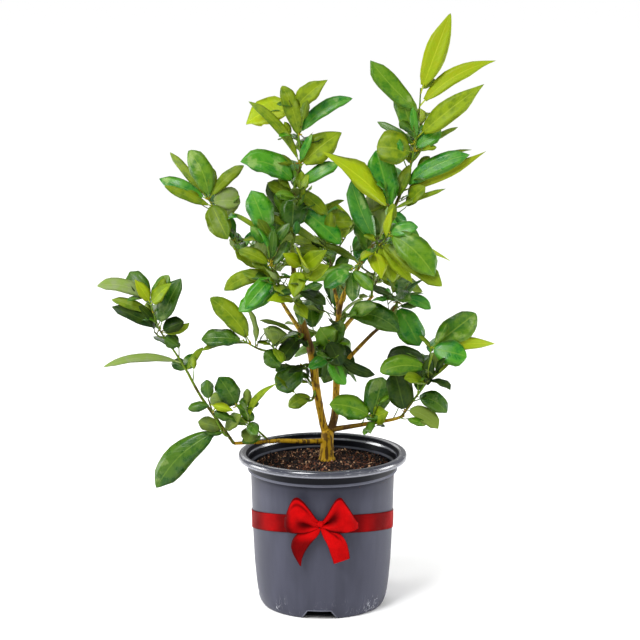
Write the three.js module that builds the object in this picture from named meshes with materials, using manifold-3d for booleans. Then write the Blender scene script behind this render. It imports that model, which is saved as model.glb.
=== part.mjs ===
// Potted Persian lime tree. Millimetres, +Z up, origin at the centre of the pot's flat underside.
// The front, where the bow is tied, faces -Y.

import * as THREE from "three";
import { mergeVertices } from "three/addons/utils/BufferGeometryUtils.js";
import Module from "manifold-3d";

const wasm = await Module();
wasm.setup();

// Driving dimensions
const CLEARANCE = 0.3;
const POT_HEIGHT = 212;
const RIM_RADIUS = 115;
const POT_WALL = 1.7;
const POT_SIDES = 36;
const NOTCH = { count: 4, turn: -3, bottom: 48, top: 33, height: 12.5, from: 70, to: 96 };
const SOIL = { level: 196, sag: 5, bump: 1.6, flat: 24, spread: 90, rings: [94, 78, 60, 44, 28, 14] };
const RIBBON = { width: 25, thickness: 0.7, height: 118.5, tilt: 0.186, gap: 0.4 };
const KNOT = { at: [-4, -102.4, 137], size: [8.5, 4.6, 8] };
const BOW_THICKNESS = 1.2;
const LEAF = {
  thickness: 1.1,
  slimmest: 90,
  petioleWidth: 1.7,
  arch: 0.075,
  fold: 0.22,
  broaden: 1.12,
  roll: 24,
  jitter: 9,
  facesBack: 0.5,
};
const LEAF_STATIONS = [
  [0, 0],
  [0.4, 1],
  [0.74, 0.84],
];
const BLADE_STATIONS = [[0.2, 0.4], ...LEAF_STATIONS.slice(1)];
const LEAN_TRIES = [0, 14, -14, 28, -28, 42].map(THREE.MathUtils.degToRad);
const STEM = { least: 1.7, share: 0.6, roundFrom: 2, sides: 5 };
const TWIG_TIP = 1;
const TWIG_SIDES = 3;
const TWIG_STEP = 30;
const TWIG_REACH = 0.97;
const SHOOT = { spread: 1.05, rise: 0.18, steps: 2, thick: 1.5, bare: 0.4, open: 0.95, tipOpen: 0.2 };
const FRONT_SHOOTS = { shoots: 1, reach: 30, leafCount: 3, leafLength: 44 };
const SMALLEST_EDGE = 0.3;
const AXES = [[1, 0, 0], [0, 1, 0], [0, 0, 1]];
const GOLDEN_ANGLE = THREE.MathUtils.degToRad(137.5);

const COLOURS = {
  pot: { color: 0x55565f, roughness: 0.62, metalness: 0 },
  soil: { color: 0x3b281c, roughness: 0.95, metalness: 0 },
  ribbon: { color: 0xc8141c, roughness: 0.38, metalness: 0 },
  bark: { color: 0x7a6430, roughness: 0.8, metalness: 0 },
  young: { color: 0x9aab1c, roughness: 0.45, metalness: 0 },
  bright: { color: 0x4f8a24, roughness: 0.42, metalness: 0 },
  deep: { color: 0x33591c, roughness: 0.42, metalness: 0 },
};

// A small generator of even random numbers, the same on every machine
class Dice {
  constructor(seed) {
    this.state = (seed * 7919 + 17) % 2147483647;
  }
  roll() {
    this.state = (this.state * 48271) % 2147483647;
    return this.state / 2147483647;
  }
  within(spread) {
    return (2 * this.roll() - 1) * spread;
  }
}

const vector = (p) => new THREE.Vector3(...p);
const radians = THREE.MathUtils.degToRad;

// Value at x on a line through [x, value] pairs
function along(pairs, x) {
  const i = Math.max(1, pairs.findIndex(([px]) => px >= x));
  const [[x0, v0], [x1, v1]] = x > pairs.at(-1)[0] ? pairs.slice(-2) : [pairs[i - 1], pairs[i]];
  return v0 + ((v1 - v0) * THREE.MathUtils.clamp(x - x0, 0, x1 - x0)) / (x1 - x0);
}

// Solids

function solidOf(geometry) {
  const bare = geometry.clone();
  bare.deleteAttribute("normal");
  bare.deleteAttribute("uv");
  const merged = mergeVertices(bare, 1e-4);
  return new wasm.Manifold(
    new wasm.Mesh({
      numProp: 3,
      vertProperties: new Float32Array(merged.attributes.position.array),
      triVerts: new Uint32Array(merged.index.array),
    }),
  );
}

// The largest piece of a solid without its slivers, so that loose scraps are dropped
function mainPiece(solid) {
  const pieces = solid.asOriginal().simplify(SMALLEST_EDGE).decompose();
  return pieces.reduce((best, piece) => (piece.volume() > best.volume() ? piece : best));
}

function geometryOf(solid) {
  const { numProp, vertProperties, triVerts } = solid.getMesh();
  const count = vertProperties.length / numProp;
  const position = new Float32Array(count * 3);
  for (let i = 0; i < count; i++) position.set(vertProperties.subarray(i * numProp, i * numProp + 3), i * 3);
  const geometry = new THREE.BufferGeometry();
  geometry.setAttribute("position", new THREE.BufferAttribute(position, 3));
  geometry.setIndex(new THREE.BufferAttribute(new Uint32Array(triVerts), 1));
  geometry.computeVertexNormals();
  return geometry;
}

// Straight pieces along a smooth route, so that what grows on a twig starts inside its faceted wood
class Wood {
  constructor(route, steps) {
    this.curve = new THREE.CatmullRomCurve3(route, false, "centripetal");
    this.steps = steps ?? Math.max(2, Math.round(this.curve.getLength() / TWIG_STEP));
    this.points = this.curve.getSpacedPoints(this.steps);
  }
  span(place) {
    const at = THREE.MathUtils.clamp(place, 0, TWIG_REACH) * this.steps;
    const i = Math.min(Math.floor(at), this.steps - 1);
    return [this.points[i], this.points[i + 1], at - i];
  }
  point(place) {
    const [from, to, share] = this.span(place);
    return from.clone().lerp(to, share);
  }
  heading(place) {
    const [from, to] = this.span(place);
    return to.clone().sub(from).normalize();
  }
}

function meshOf(name, solid, finish) {
  const mesh = new THREE.Mesh(geometryOf(solid), new THREE.MeshStandardMaterial(COLOURS[finish]));
  mesh.name = name;
  return mesh;
}

// Closed skin over rings of equal count. A ring of one point is a tip, and a wider end is capped flat.
function loft(rings) {
  const points = [];
  const faces = [];
  const starts = rings.map((ring) => points.push(...ring) - ring.length);
  const sides = Math.max(...rings.map((ring) => ring.length));
  for (let k = 0; k + 1 < rings.length; k++) {
    const [a, b] = [starts[k], starts[k + 1]];
    const [ca, cb] = [rings[k].length, rings[k + 1].length];
    for (let i = 0; i < sides; i++) {
      const j = (i + 1) % sides;
      if (ca > 1) faces.push([a + i, a + j, b + (cb > 1 ? j : 0)]);
      if (cb > 1) faces.push([ca > 1 ? a + i : a, b + j, b + i]);
    }
  }
  for (const [k, flip] of [[0, true], [rings.length - 1, false]]) {
    for (let i = 1; i + 1 < rings[k].length; i++) {
      const face = [starts[k], starts[k] + i, starts[k] + i + 1];
      faces.push(flip ? face.reverse() : face);
    }
  }
  const geometry = new THREE.BufferGeometry();
  geometry.setAttribute("position", new THREE.Float32BufferAttribute(points.flatMap((p) => p.toArray()), 3));
  geometry.setIndex(faces.flat());
  const solid = solidOf(geometry);
  if (solid.volume() > 0) return solid;
  geometry.setIndex(faces.flatMap((face) => face.reverse()));
  return solidOf(geometry);
}

// Tapered tube round a smooth curve, with its radius read from [fraction, radius] pairs
function tube(wood, radii, sides, extra = 0) {
  const { steps, points } = wood;
  const frames = wood.curve.computeFrenetFrames(steps);
  const rings = [];
  for (let k = 0; k <= steps; k++) {
    const radius = along(radii, k / steps) + extra;
    const end = k === 0 ? -extra : k === steps ? extra : 0;
    const centre = points[k].clone().addScaledVector(frames.tangents[k], end);
    rings.push(
      Array.from({ length: sides }, (_, i) => {
        const turn = (2 * Math.PI * i) / sides;
        return centre
          .clone()
          .addScaledVector(frames.normals[k], radius * Math.cos(turn))
          .addScaledVector(frames.binormals[k], radius * Math.sin(turn));
      }),
    );
  }
  return loft(rings);
}

// Pot: thrown profile, outside from the underside up to the rolled lip, then down the inside
const OUTSIDE = [
  [0, 80.5],
  [2.2, 83.6],
  [8, 86],
  [20, 89],
  [35, 91],
  [62, 93.5],
  [110, 95.8],
  [188, 98],
  [192.5, 99.2],
  [195.5, 101],
  [203.5, 102.4],
];
const outsideRadius = (z) => along(OUTSIDE, z);

function potSolid() {
  const outside = OUTSIDE.map(([z, r]) => [r, z]);
  const lip = [
    [103.2, 207.4],
    [112.2, 208.6],
    [112.6, 203.6],
    [114, 203],
    [RIM_RADIUS, 206.5],
    [RIM_RADIUS - 0.7, 210],
    [RIM_RADIUS - 3, POT_HEIGHT],
    [106.4, POT_HEIGHT],
    [102.2, 209.6],
  ];
  const inside = OUTSIDE.filter((_, i) => i % 2 === 1 && i > 1).reverse()
    .map(([z, r]) => [r - POT_WALL, z + POT_WALL / 4]);
  const profile = [[0, 0], ...outside, ...lip, ...inside, [78, POT_WALL], [0, POT_WALL]];
  const turned = new THREE.LatheGeometry(profile.map(([r, z]) => new THREE.Vector2(r, z)), POT_SIDES);
  turned.rotateX(Math.PI / 2);
  let pot = solidOf(turned);
  const shape = new THREE.Shape([
    new THREE.Vector2(-NOTCH.bottom / 2, -1),
    new THREE.Vector2(NOTCH.bottom / 2, -1),
    new THREE.Vector2(NOTCH.top / 2, NOTCH.height),
    new THREE.Vector2(-NOTCH.top / 2, NOTCH.height),
  ]);
  for (let i = 0; i < NOTCH.count; i++) {
    const cutter = new THREE.ExtrudeGeometry(shape, { depth: NOTCH.to - NOTCH.from, bevelEnabled: false });
    cutter.translate(0, 0, NOTCH.from);
    cutter.rotateX(Math.PI / 2);
    cutter.rotateZ(radians(NOTCH.turn) + (i * 2 * Math.PI) / NOTCH.count);
    pot = pot.subtract(solidOf(cutter));
  }
  return mainPiece(pot);
}

// Soil: fills the pot, level round the trunk's foot, lower and lumpy towards the wall
const FOOT = [6, 15];

function soilHeight(x, y) {
  const away = Math.hypot(x - FOOT[0], y - FOOT[1]);
  const out = THREE.MathUtils.smoothstep(away, SOIL.flat, SOIL.spread);
  const lumps = Math.sin(x * 0.21 + 1.3) * Math.cos(y * 0.17 - 0.4) + 0.6 * Math.sin(0.37 * (x + y));
  return SOIL.level - SOIL.sag * out + SOIL.bump * lumps * THREE.MathUtils.smoothstep(away, SOIL.flat, 48);
}

function soilSolid() {
  const wall = OUTSIDE.filter(([z], i) => i % 2 === 1 && z > 5 && z < SOIL.level - SOIL.sag - 5);
  const side = wall.map(([z, r]) => [r - POT_WALL - 2 * CLEARANCE, z + 0.6]);
  const top = SOIL.rings.map((r) => [r, SOIL.level]);
  const floor = POT_WALL + CLEARANCE;
  const shoulder = [outsideRadius(188) - 2.6, 188];
  const profile = [[0, floor], [76, floor], ...side, shoulder, ...top, [0, SOIL.level]];
  const turned = new THREE.LatheGeometry(profile.map(([r, z]) => new THREE.Vector2(r, z)), POT_SIDES);
  turned.rotateX(Math.PI / 2);
  const place = turned.attributes.position;
  for (let i = 0; i < place.count; i++) {
    if (place.getZ(i) === SOIL.level) place.setZ(i, soilHeight(place.getX(i), place.getY(i)));
  }
  return mainPiece(solidOf(turned));
}

// Ribbon: a band round the pot that rides higher at the front, tied in a bow
function bandSolid() {
  const rings = [];
  for (let i = 0; i <= POT_SIDES; i++) {
    const turn = (2 * Math.PI * i) / POT_SIDES;
    const [east, north] = [Math.sin(turn), Math.cos(turn)];
    const level = RIBBON.height - RIBBON.tilt * north * outsideRadius(RIBBON.height);
    const heights = [-0.5, 0.5].map((share) => level + share * RIBBON.width);
    const wall = (gap) => heights.map((z) => new THREE.Vector3(east, north, 0)
      .multiplyScalar(outsideRadius(z) + gap).setZ(z));
    rings.push([...wall(RIBBON.gap), ...wall(RIBBON.gap + RIBBON.thickness).reverse()]);
  }
  const points = rings.slice(0, -1).flat();
  const across = rings[0].length;
  const faces = [];
  for (let i = 0; i < POT_SIDES; i++) {
    for (let j = 0; j < across; j++) {
      const [a, b] = [i * across, ((i + 1) % POT_SIDES) * across];
      const k = (j + 1) % across;
      faces.push(a + j, a + k, b + k, a + j, b + k, b + j);
    }
  }
  const geometry = new THREE.BufferGeometry();
  geometry.setAttribute("position", new THREE.Float32BufferAttribute(points.flatMap((p) => p.toArray()), 3));
  geometry.setIndex(faces);
  const solid = solidOf(geometry);
  if (solid.volume() > 0) return solid;
  geometry.setIndex(faces.reverse());
  return solidOf(geometry);
}

// Flat strip through stations { at, half }, half being the vector from its middle to its edge
function strip(stations) {
  const middle = new THREE.CatmullRomCurve3(stations.map(({ at }) => vector(at)), false, "centripetal");
  const rings = stations.map(({ at, half }, i) => {
    const tangent = middle.getTangent(i / (stations.length - 1));
    const edge = vector(half);
    const face = tangent.clone().cross(edge).setLength(BOW_THICKNESS / 2);
    const centre = vector(at);
    return [
      centre.clone().add(edge).add(face),
      centre.clone().sub(edge).add(face),
      centre.clone().sub(edge).sub(face),
      centre.clone().add(edge).sub(face),
    ];
  });
  return loft(rings);
}

// One loop of the bow: out along the front, round the end and back behind, standing proud of the band.
// Rows are the distance out from the knot, the upper edge and the lower edge, from the knot outwards.
function loopSolid(side, rows, depth) {
  const front = rows.map(([out, top, bottom], i) => {
    const bulge = Math.sin((Math.PI * i) / (rows.length - 1)) * depth;
    return { out, top, bottom, y: KNOT.at[1] - 0.8 - bulge };
  });
  const back = front.slice(0, -1).reverse().map((row) => ({ ...row, y: KNOT.at[1] + 2.1 }));
  const path = [...front, ...back];
  return strip(
    path.map(({ out, top, bottom, y }) => ({
      at: [KNOT.at[0] + side * out, y, (top + bottom) / 2],
      half: [0, 0, (top - bottom) / 2],
    })),
  );
}

function bowSolids() {
  const ball = (extra) => {
    const geometry = new THREE.SphereGeometry(1, 14, 9);
    geometry.scale(...KNOT.size.map((size) => size + extra));
    geometry.translate(...KNOT.at);
    return solidOf(geometry);
  };
  const around = ball(CLEARANCE);
  const left = loopSolid(-1, [[2, 142, 132], [12, 155, 129], [23, 168, 127.5], [33, 174, 128], [41, 164, 130],
    [46, 149, 135]], 9).subtract(around);
  const right = loopSolid(1, [[2, 142, 132], [12, 157, 129], [20, 170, 128], [27, 173, 128], [38, 158, 129],
    [49, 141, 131]], 9).subtract(around);
  const tails = {
    left: strip([
      { at: [-6, -105.5, 133], half: [4, 0, 4] },
      { at: [-17, -107, 121], half: [9, 0, 5] },
      { at: [-27, -105, 106], half: [11, 0, 1.5] },
      { at: [-30, -102.5, 90], half: [7, 0, -5] },
      { at: [-29, -101.5, 82], half: [2.5, 0, -3.5] },
    ]),
    right: strip([
      { at: [-1, -105.5, 133], half: [4, 0, -4] },
      { at: [10, -107, 121], half: [9, 0, -2] },
      { at: [19, -105, 107], half: [12, 0, -1] },
      { at: [25, -103, 88], half: [10, 0, 5] },
    ]),
  };
  const loops = left.add(right);
  const fatLoops = wasm.Manifold.union(
    AXES.flatMap((axis) => [-CLEARANCE, CLEARANCE].map((step) => loops.translate(axis.map((a) => a * step)))),
  );
  return {
    bow_knot: ball(0),
    bow_loop_left: mainPiece(left),
    bow_loop_right: mainPiece(right),
    bow_tail_left: mainPiece(tails.left.subtract(around).subtract(fatLoops)),
    bow_tail_right: mainPiece(tails.right.subtract(around).subtract(fatLoops)),
  };
}

// Limbs: the route of each, with [fraction, radius] pairs. Each is cut clear of those above it in the list.
const LIMBS = {
  trunk: {
    route: [[6, 15, 196.3], [6, 15, 206], [6.4, 15, 222], [7, 15, 237]],
    radii: [[0, 11.2], [0.14, 9.6], [0.4, 8.9], [1, 8.5]],
    sides: 10,
    steps: 7,
  },
  bough_left: {
    route: [[5, 15, 232], [-1, 12, 256], [-8, 5, 296], [-16, 0, 353], [-26, -4, 388], [-36, -2, 436],
      [-41, 0, 490]],
    radii: [[0, 5.6], [0.15, 4.9], [0.35, 5.9], [1, 2.8]],
  },
  bough_right: {
    route: [[9, 15, 232], [16, 18, 254], [19, 22, 300], [20, 20, 377], [25, 16, 415], [36, 12, 443]],
    radii: [[0, 5.8], [0.2, 4.9], [0.4, 5.1], [1, 3]],
  },
  bough_right_upper: {
    route: [[36, 12, 443], [58, 8, 482], [84, 4, 522], [103, 0, 563]],
    radii: [[0, 3], [1, 2.1]],
  },
  bough_diagonal: {
    route: [[20, 21, 321], [46, 24, 348], [66, 24, 369], [85, 20, 388], [101, 18, 413]],
    radii: [[0, 3.1], [1, 1.9]],
  },
  bough_low_right: {
    route: [[12, 14, 239], [35, 5, 245], [64, -8, 253], [98, -16, 261], [110, -18, 266]],
    radii: [[0, 3.8], [1, 2]],
  },
  bough_low_left: {
    route: [[1, 14, 223], [-24, 4, 225], [-58, -14, 230], [-91, -26, 231], [-119, -32, 231]],
    radii: [[0, 3.4], [1, 2.3]],
  },
  bough_low_left_rise: {
    route: [[-120, -32, 231], [-135, -34, 254], [-165, -32, 298], [-182, -30, 330]],
    radii: [[0, 2.3], [1, 1.7]],
  },
  bough_back_left: {
    route: [[-17, 0, 358], [-36, 42, 380], [-56, 82, 404], [-68, 106, 424]],
    radii: [[0, 3.6], [1, 2]],
  },
  bough_back_right: {
    route: [[20, 20, 364], [34, 56, 378], [54, 88, 394], [70, 108, 408]],
    radii: [[0, 3.6], [1, 2]],
  },
  bough_back: {
    route: [[23, 17, 396], [18, 50, 420], [10, 78, 446]],
    radii: [[0, 3], [1, 1.9]],
  },
};
const LIMB_SIDES = 7;

for (const limb of Object.values(LIMBS)) {
  limb.wood = new Wood(limb.route.map(vector), limb.steps);
  limb.solid = tube(limb.wood, limb.radii, limb.sides ?? LIMB_SIDES);
  limb.fat = tube(limb.wood, limb.radii, limb.sides ?? LIMB_SIDES, CLEARANCE);
}

// Foliage: each mass has one stem from its limb, and each leaf is a row of
// [place along the twig 0-1, clock hour it points to as seen from the front, length, width share,
// lean back in degrees, sideways bend as a share of its length, roll in degrees if it is not left to chance].
const MASSES = {
  leaves_low_left_outer: {
    limb: "bough_low_left_rise", at: 1, stem: [[-198, -32, 357], [-219, -34, 390], [-231, -36, 430]],
    hue: "bright",
    leaves: [[0.04, 10.17, 24, 0.75, 0, 0, -23], [0.04, 0.78, 25, 0.71, 0, 0, 17],
      [0.04, 1.14, 40, 0.24, 0, 0, 21], [0.15, 8.94, 105, 0.12, 0, 0.07, -27],
      [0.59, 2.21, 33, 0.63, 0, 0, 27], [0.57, 2.35, 39, 0.25, -15, 0.12, 30],
      [0.53, 4.21, 24, 0.86, 0, 0, 23], [0.61, 9.89, 72, 0.25, 0, 0, -25],
      [0.67, 0.87, 71, 0.39, 0, 0, 19], [0.82, 9.62, 59, 0.24, 0, 0, -26],
      [0.96, 9.57, 74, 0.26, 0, 0.12, -27], [0.97, 1.23, 43, 0.42, 15, 0, 20],
      [0.93, 1.41, 47, 0.42, -15, 0, 31], [0.97, 10.76, 50, 0.54, 20, 0, -14],
      [0.95, 10.95, 38, 0.4, -15, 0, -24], [0.35, 9.5, 58, 0.44, 62], [0.7, 11, 62, 0.44, 66],
      [0.9, 2, 50, 0.44, 68]],
  },
  leaves_low_left_rise: {
    limb: "bough_low_left_rise", at: 0.1, stem: [[-132, -46, 247], [-146, -50, 276], [-153, -50, 297]],
    hue: "deep", shoots: 0,
    leaves: [[0.28, 7.6, 121, 0.3, 0, 0.08, -24], [0.87, 8.64, 31, 0.45, 0, 0, -26],
      [0.87, 3.39, 32, 0.35, -20, 0, 24], [0.74, 3.82, 25, 0.55, -5, 0, 24],
      [0.28, 9.63, 35, 0.56, -20, 0, -28], [0.2, 1.31, 41, 0.45, -25, 0, 34],
      [0.97, 11.87, 29, 0.61, 0, 0, -1]],
  },
  leaves_low_left_inner: {
    limb: "bough_low_left", at: 0.62, stem: [[-92, -30, 253], [-106, -34, 270], [-116, -36, 285]],
    hue: "deep",
    leaves: [[0.45, 6.85, 24, 0.96, -20, 0, -12], [0.62, 1.13, 75, 0.13, -20, -0.1, 30],
      [0.96, 4.34, 29, 0.52, 0, 0, 22], [0.94, 1.78, 23, 0.6, 10, 0, 22],
      [0.97, 10.99, 48, 0.65, 0, 0, -17], [0.97, 9.38, 41, 0.51, 25, 0, -25]],
  },
  leaves_left_mid: {
    limb: "bough_left", at: 0.57, stem: [[-51, -22, 357], [-81, -34, 360], [-107, -42, 375]], hue: "deep",
    leaves: [[0.12, 7.55, 53, 0.44, -45, 0, -13], [0.1, 9.7, 61, 0.16, 20],
      [0.24, 9.71, 47, 0.44, 25, 0, -24], [0.52, 1.6, 51, 0.35, -30], [0.68, 4.48, 32, 0.81, -15, 0, 19],
      [0.78, 1.3, 36, 0.5, 30], [0.87, 8.8, 68, 0.2], [0.98, 9.1, 58, 0.5, 10],
      [0.88, 10.64, 82, 0.34, 0, 0.06, -21], [0.8, 11.5, 56, 0.44, 60]],
  },
  leaves_fork_left: {
    limb: "bough_left", at: 0.27, stem: [[-14, -4, 285], [-21, -10, 284]], hue: "deep", shoots: 0,
    leaves: [[0.57, 8.21, 37, 0.53, 0, 0.08, -25]],
  },
  leaves_centre_low: {
    limb: "bough_right", at: 0.54, stem: [[15, -12, 353], [7, -30, 373]], hue: "deep",
    leaves: [[0.51, 4.02, 66, 0.23, 10, 0.1, 28], [0.53, 4.85, 58, 0.09, 0, 0, 20],
      [0.53, 5.27, 48, 0.4, -25, 0.14, 10], [0.64, 0.62, 40, 0.58, 0, 0, 12],
      [0.97, 5.11, 38, 0.75, -5, 0, 15], [0.66, 11.01, 37, 0.9, -15, 0, -25]],
  },
  leaves_centre_left: {
    limb: "bough_left", at: 0.8, stem: [[-51, -40, 440], [-67, -60, 475], [-72, -62, 505]], hue: "bright",
    leaves: [[0.32, 8.2, 54, 0.2, 10], [0.42, 8.1, 67, 0.42, -15], [0.62, 8.43, 73, 0.29, 5, 0.12, -29],
      [0.77, 9.8, 48, 0.5, 10], [0.8, 0.2, 46, 0.35], [0.75, 1, 44, 0.5, 10], [0.95, 11.1, 34, 0.3, 20],
      [0.64, 7.48, 62, 0.44, -35, 0, -18]],
  },
  leaves_centre_front: {
    limb: "bough_left", at: 0.76, stem: [[-35, -60, 434], [-30, -90, 464], [-27, -96, 489]], hue: "young",
    leaves: [[0.37, 5.6, 36, 0.4, -20], [0.91, 6.55, 43, 0.5, -35, 0, -7],
      [0.81, 2.11, 44, 0.48, -20, 0, 32], [0.91, 1.64, 48, 0.45, -25, 0, 35],
      [0.95, 11.63, 42, 0.96, -35, 0, -47], [0.6, 3.7, 45, 0.5, -30], [0.35, 2, 40, 0.5, -10],
      [0.95, 10.31, 34, 0.5, -20, 0, -32]],
  },
  leaves_upper_left: {
    limb: "bough_left", at: 0.86, stem: [[-73, 0, 456], [-106, 2, 486], [-124, 2, 508], [-141, 0, 540],
      [-155, 0, 562]],
    hue: "bright",
    leaves: [[0.3, 10.24, 41, 0.44, 0, 0, -25], [0.26, 9.6, 30, 0.4, 20], [0.33, 0.66, 50, 0.41, 0, 0, 15],
      [0.47, 1.02, 37, 0.26, 0, -0.12, 20], [0.59, 10.8, 46, 0.4], [0.6, 11.71, 34, 0.36, 8, 0, -4],
      [0.94, 5.07, 58, 0.54, -10, 0, 14], [0.94, 3, 40, 0.81, -5, -0.06, 30],
      [0.97, 1.54, 66, 0.25, 0, -0.06, 26], [0.97, 9.76, 73, 0.27, 0, 0, -28],
      [0.91, 9.83, 72, 0.18, -8, -0.04, -29], [0.97, 10.63, 87, 0.14, 15, 0, -18],
      [0.97, 11.26, 71, 0.42, 0, 0.08, -14], [0.5, 10.5, 58, 0.44, 66], [0.72, 0.5, 62, 0.44, 64],
      [0.9, 10.5, 54, 0.44, 68], [0.62, 5.2, 54, 0.42, 58]],
  },
  leaves_upper_left_inner: {
    limb: "bough_left", at: 0.93, stem: [[-58, -22, 482], [-72, -26, 515]], hue: "deep", shoots: 0,
    leaves: [[0.95, 11.28, 66, 0.52, 0, 0, -14], [0.97, 10.04, 59, 0.12, 0, 0, -26],
      [0.78, 11.1, 42, 0.35, -20], [0.68, 1, 40, 0.4]],
  },
  leaves_top_left: {
    limb: "bough_left", at: 1, stem: [[-40, 2, 530], [-38, 4, 572], [-29, 2, 610], [-33, 0, 650],
      [-38, 0, 685]],
    hue: "bright",
    shoots: 2,
    leaves: [[0.33, 4.29, 82, 0.34, -5, -0.05, 25], [0.38, 10.04, 41, 0.51, 0, 0, -27],
      [0.22, 10.89, 68, 0.4, 5, 0.04, -19], [0.41, 6.1, 47, 0.8, -20], [0.45, 4.29, 58, 0.33, -12, 0, 23],
      [0.44, 2, 69, 0.3], [0.44, 0.5, 28, 0.7, -10], [0.47, 9.77, 81, 0.43, 0, 0.14, -29],
      [0.58, 1.68, 74, 0.47, 0, -0.04, 27], [0.61, 0.76, 43, 0.25, 5, 0, 15],
      [0.61, 10.71, 107, 0.13, 0, 0.07, -23], [0.78, 11.41, 73, 0.32, 0, 0.04, -13],
      [0.8, 1.86, 87, 0.23, 0, -0.09, 28], [0.95, 8.45, 76, 0.48, -5, 0.1, -30],
      [0.97, 1.57, 59, 0.4, 0, -0.03, 27], [0.15, 10, 62, 0.44, 64], [0.3, 1.5, 62, 0.44, 60],
      [0.5, 11, 64, 0.44, 64], [0.68, 1.2, 60, 0.42, 66], [0.86, 11.4, 54, 0.4, 62]],
  },
  leaves_top_mid: {
    limb: "bough_right", at: 0.93, stem: [[17, 20, 451], [7, 24, 483], [-1, 26, 508], [-8, 26, 525]],
    hue: "bright",
    leaves: [[0.31, 1.4, 30, 0.5], [0.62, 10.07, 113, 0.11, 0, 0, -27],
      [0.65, 9.79, 23, 0.55, -10, 0, -30], [0.51, 9.3, 40, 0.35], [0.97, 2.97, 49, 0.63, 10, 0, 29],
      [0.97, 1.64, 48, 0.17, 10, -0.12, 23], [0.7, 11, 56, 0.44, 60]],
  },
  leaves_top_right: {
    limb: "bough_right_upper", at: 1, stem: [[115, 0, 595], [123, 0, 631], [128, 0, 675], [130, 0, 707]],
    hue: "young",
    shoots: 0,
    leaves: [[0.1, 2.1, 100, 0.27, 0, -0.06, 28], [0.07, 2.15, 125, 0.12, -6, 0.04, 29],
      [0.12, 2.14, 112, 0.06, 12, -0.08, 26], [0.33, 0.8, 26, 0.3], [0.46, 1.8, 44, 0.54, 0, 0, 26],
      [0.44, 2.11, 73, 0.11, 0, 0, 28], [0.43, 9.34, 50, 0.93, -8, 0, -31],
      [0.34, 6.73, 49, 0.33, -10, 0, -12], [0.51, 9.97, 60, 0.19, 15, 0, -27],
      [0.53, 11.37, 70, 0.41, -5, 0, -17], [0.54, 11.8, 46, 0.24, 10, 0, -5],
      [0.56, 1.7, 115, 0.24, 0, 0, 26], [0.84, 1.99, 118, 0.17, 0, -0.07, 28],
      [0.79, 10.56, 94, 0.3, 0, -0.05, -26], [0.95, 0.69, 114, 0.24, 0, 0, 14], [0.12, 10.5, 62, 0.42, 62],
      [0.3, 0.5, 62, 0.42, 66], [0.45, 10.8, 62, 0.4, 66], [0.62, 0.4, 60, 0.36, 64]],
  },
  leaves_right_crest: {
    limb: "bough_right_upper", at: 0.84, stem: [[90, -12, 546], [87, -18, 553]], hue: "bright", shoots: 0,
    leaves: [[0.68, 10.4, 125, 0.34, -15, -0.06], [0.27, 11.51, 83, 0.47, 5, 0, -11], [0.5, 0.2, 34, 0.2],
      [1, 8.3, 26, 0.4], [0.45, 2.28, 79, 0.09, 5, 0, 27], [0.45, 4.58, 31, 0.45, 15, 0, 31]],
  },
  leaves_right_front: {
    limb: "bough_right_upper", at: 0.5, stem: [[76, -40, 502], [88, -60, 523]], hue: "bright",
    leaves: [[0.96, 2.52, 40, 0.52, 0, 0, 28], [0.39, 3.65, 48, 0.52, -5, 0, 28],
      [0.47, 5.3, 57, 0.55, -20], [0.97, 4.4, 83, 0.48, -12, -0.06, 23], [1, 3.2, 44, 0.5],
      [0.39, 11.24, 94, 0.28, 0, -0.06, -16], [0.36, 11.8, 76, 0.36, -10], [0.85, 0.4, 42, 0.25],
      [0.56, 3.84, 73, 0.27, -25, 0, 25], [0.56, 4.64, 67, 0.33, -35, 0, 17],
      [0.73, 4.15, 99, 0.28, 10, 0, 30], [0.92, 3.82, 99, 0.07, 18, 0, 32]],
  },
  leaves_centre_right: {
    limb: "bough_right_upper", at: 0.22, stem: [[47, -40, 475], [36, -70, 474]], hue: "bright", shoots: 0,
    leaves: [[0.07, 9.69, 68, 0.16, 4, 0.05, -27], [0.4, 8.3, 67, 0.3, -10], [1, 8, 45, 0.5, -20],
      [0.95, 4.4, 42, 0.4, -30], [1, 5.9, 42, 0.5, -30]],
  },
  leaves_right_outer: {
    limb: "bough_diagonal", at: 1, stem: [[104, 13, 424]], hue: "deep",
    leaves: [[0.23, 5.01, 65, 0.55, -8, 0, 17], [0.86, 3.69, 47, 0.36, 0, -0.08, 28], [0.3, 10.2, 40, 0.4],
      [1, 1.9, 42, 0.12, 10], [1, 2.7, 34, 0.12], [0.4, 6.3, 38, 0.3, 30], [0.6, 1.5, 60, 0.44, 62]],
  },
  leaves_right_inner: {
    limb: "bough_right", at: 0.71, stem: [[30, -2, 402], [36, -12, 405]], hue: "deep", shoots: 0,
    leaves: [[0.55, 3.42, 81, 0.4, -12, -0.15, 27], [0.53, 2.9, 34, 0.16, 20], [0.8, 2.2, 46, 0.5, -20]],
  },
  leaves_low_right_inner: {
    limb: "bough_low_right", at: 0.56, stem: [[68, -22, 264], [66, -28, 270]], hue: "deep", shoots: 0,
    leaves: [[0.64, 9.66, 63, 0.55, -8, 0.08, -27], [0.64, 0.48, 57, 0.66, 5, 0, 8],
      [0.56, 2.05, 27, 0.89, -25, 0, 31], [0.4, 6.4, 24, 0.6, -50]],
  },
  leaves_low_right: {
    limb: "bough_low_right", at: 1, stem: [[123, -22, 289], [139, -26, 314], [144, -28, 339],
      [145, -28, 364]],
    hue: "deep",
    leaves: [[0.07, 11.51, 58, 0.61, 5, 0, -10], [0.1, 4, 50, 0.44, 0, -0.1, 25],
      [0.31, 3.87, 47, 0.56, 0, -0.12, 26], [0.47, 1.5, 50, 0.15], [0.7, 8.95, 66, 0.42, -12, 0.1, -27],
      [0.79, 8.93, 69, 0.41, 20, 0.05, -28], [0.9, 6.2, 42, 0.5, -10], [0.93, 5.2, 36, 0.5, 30],
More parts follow.
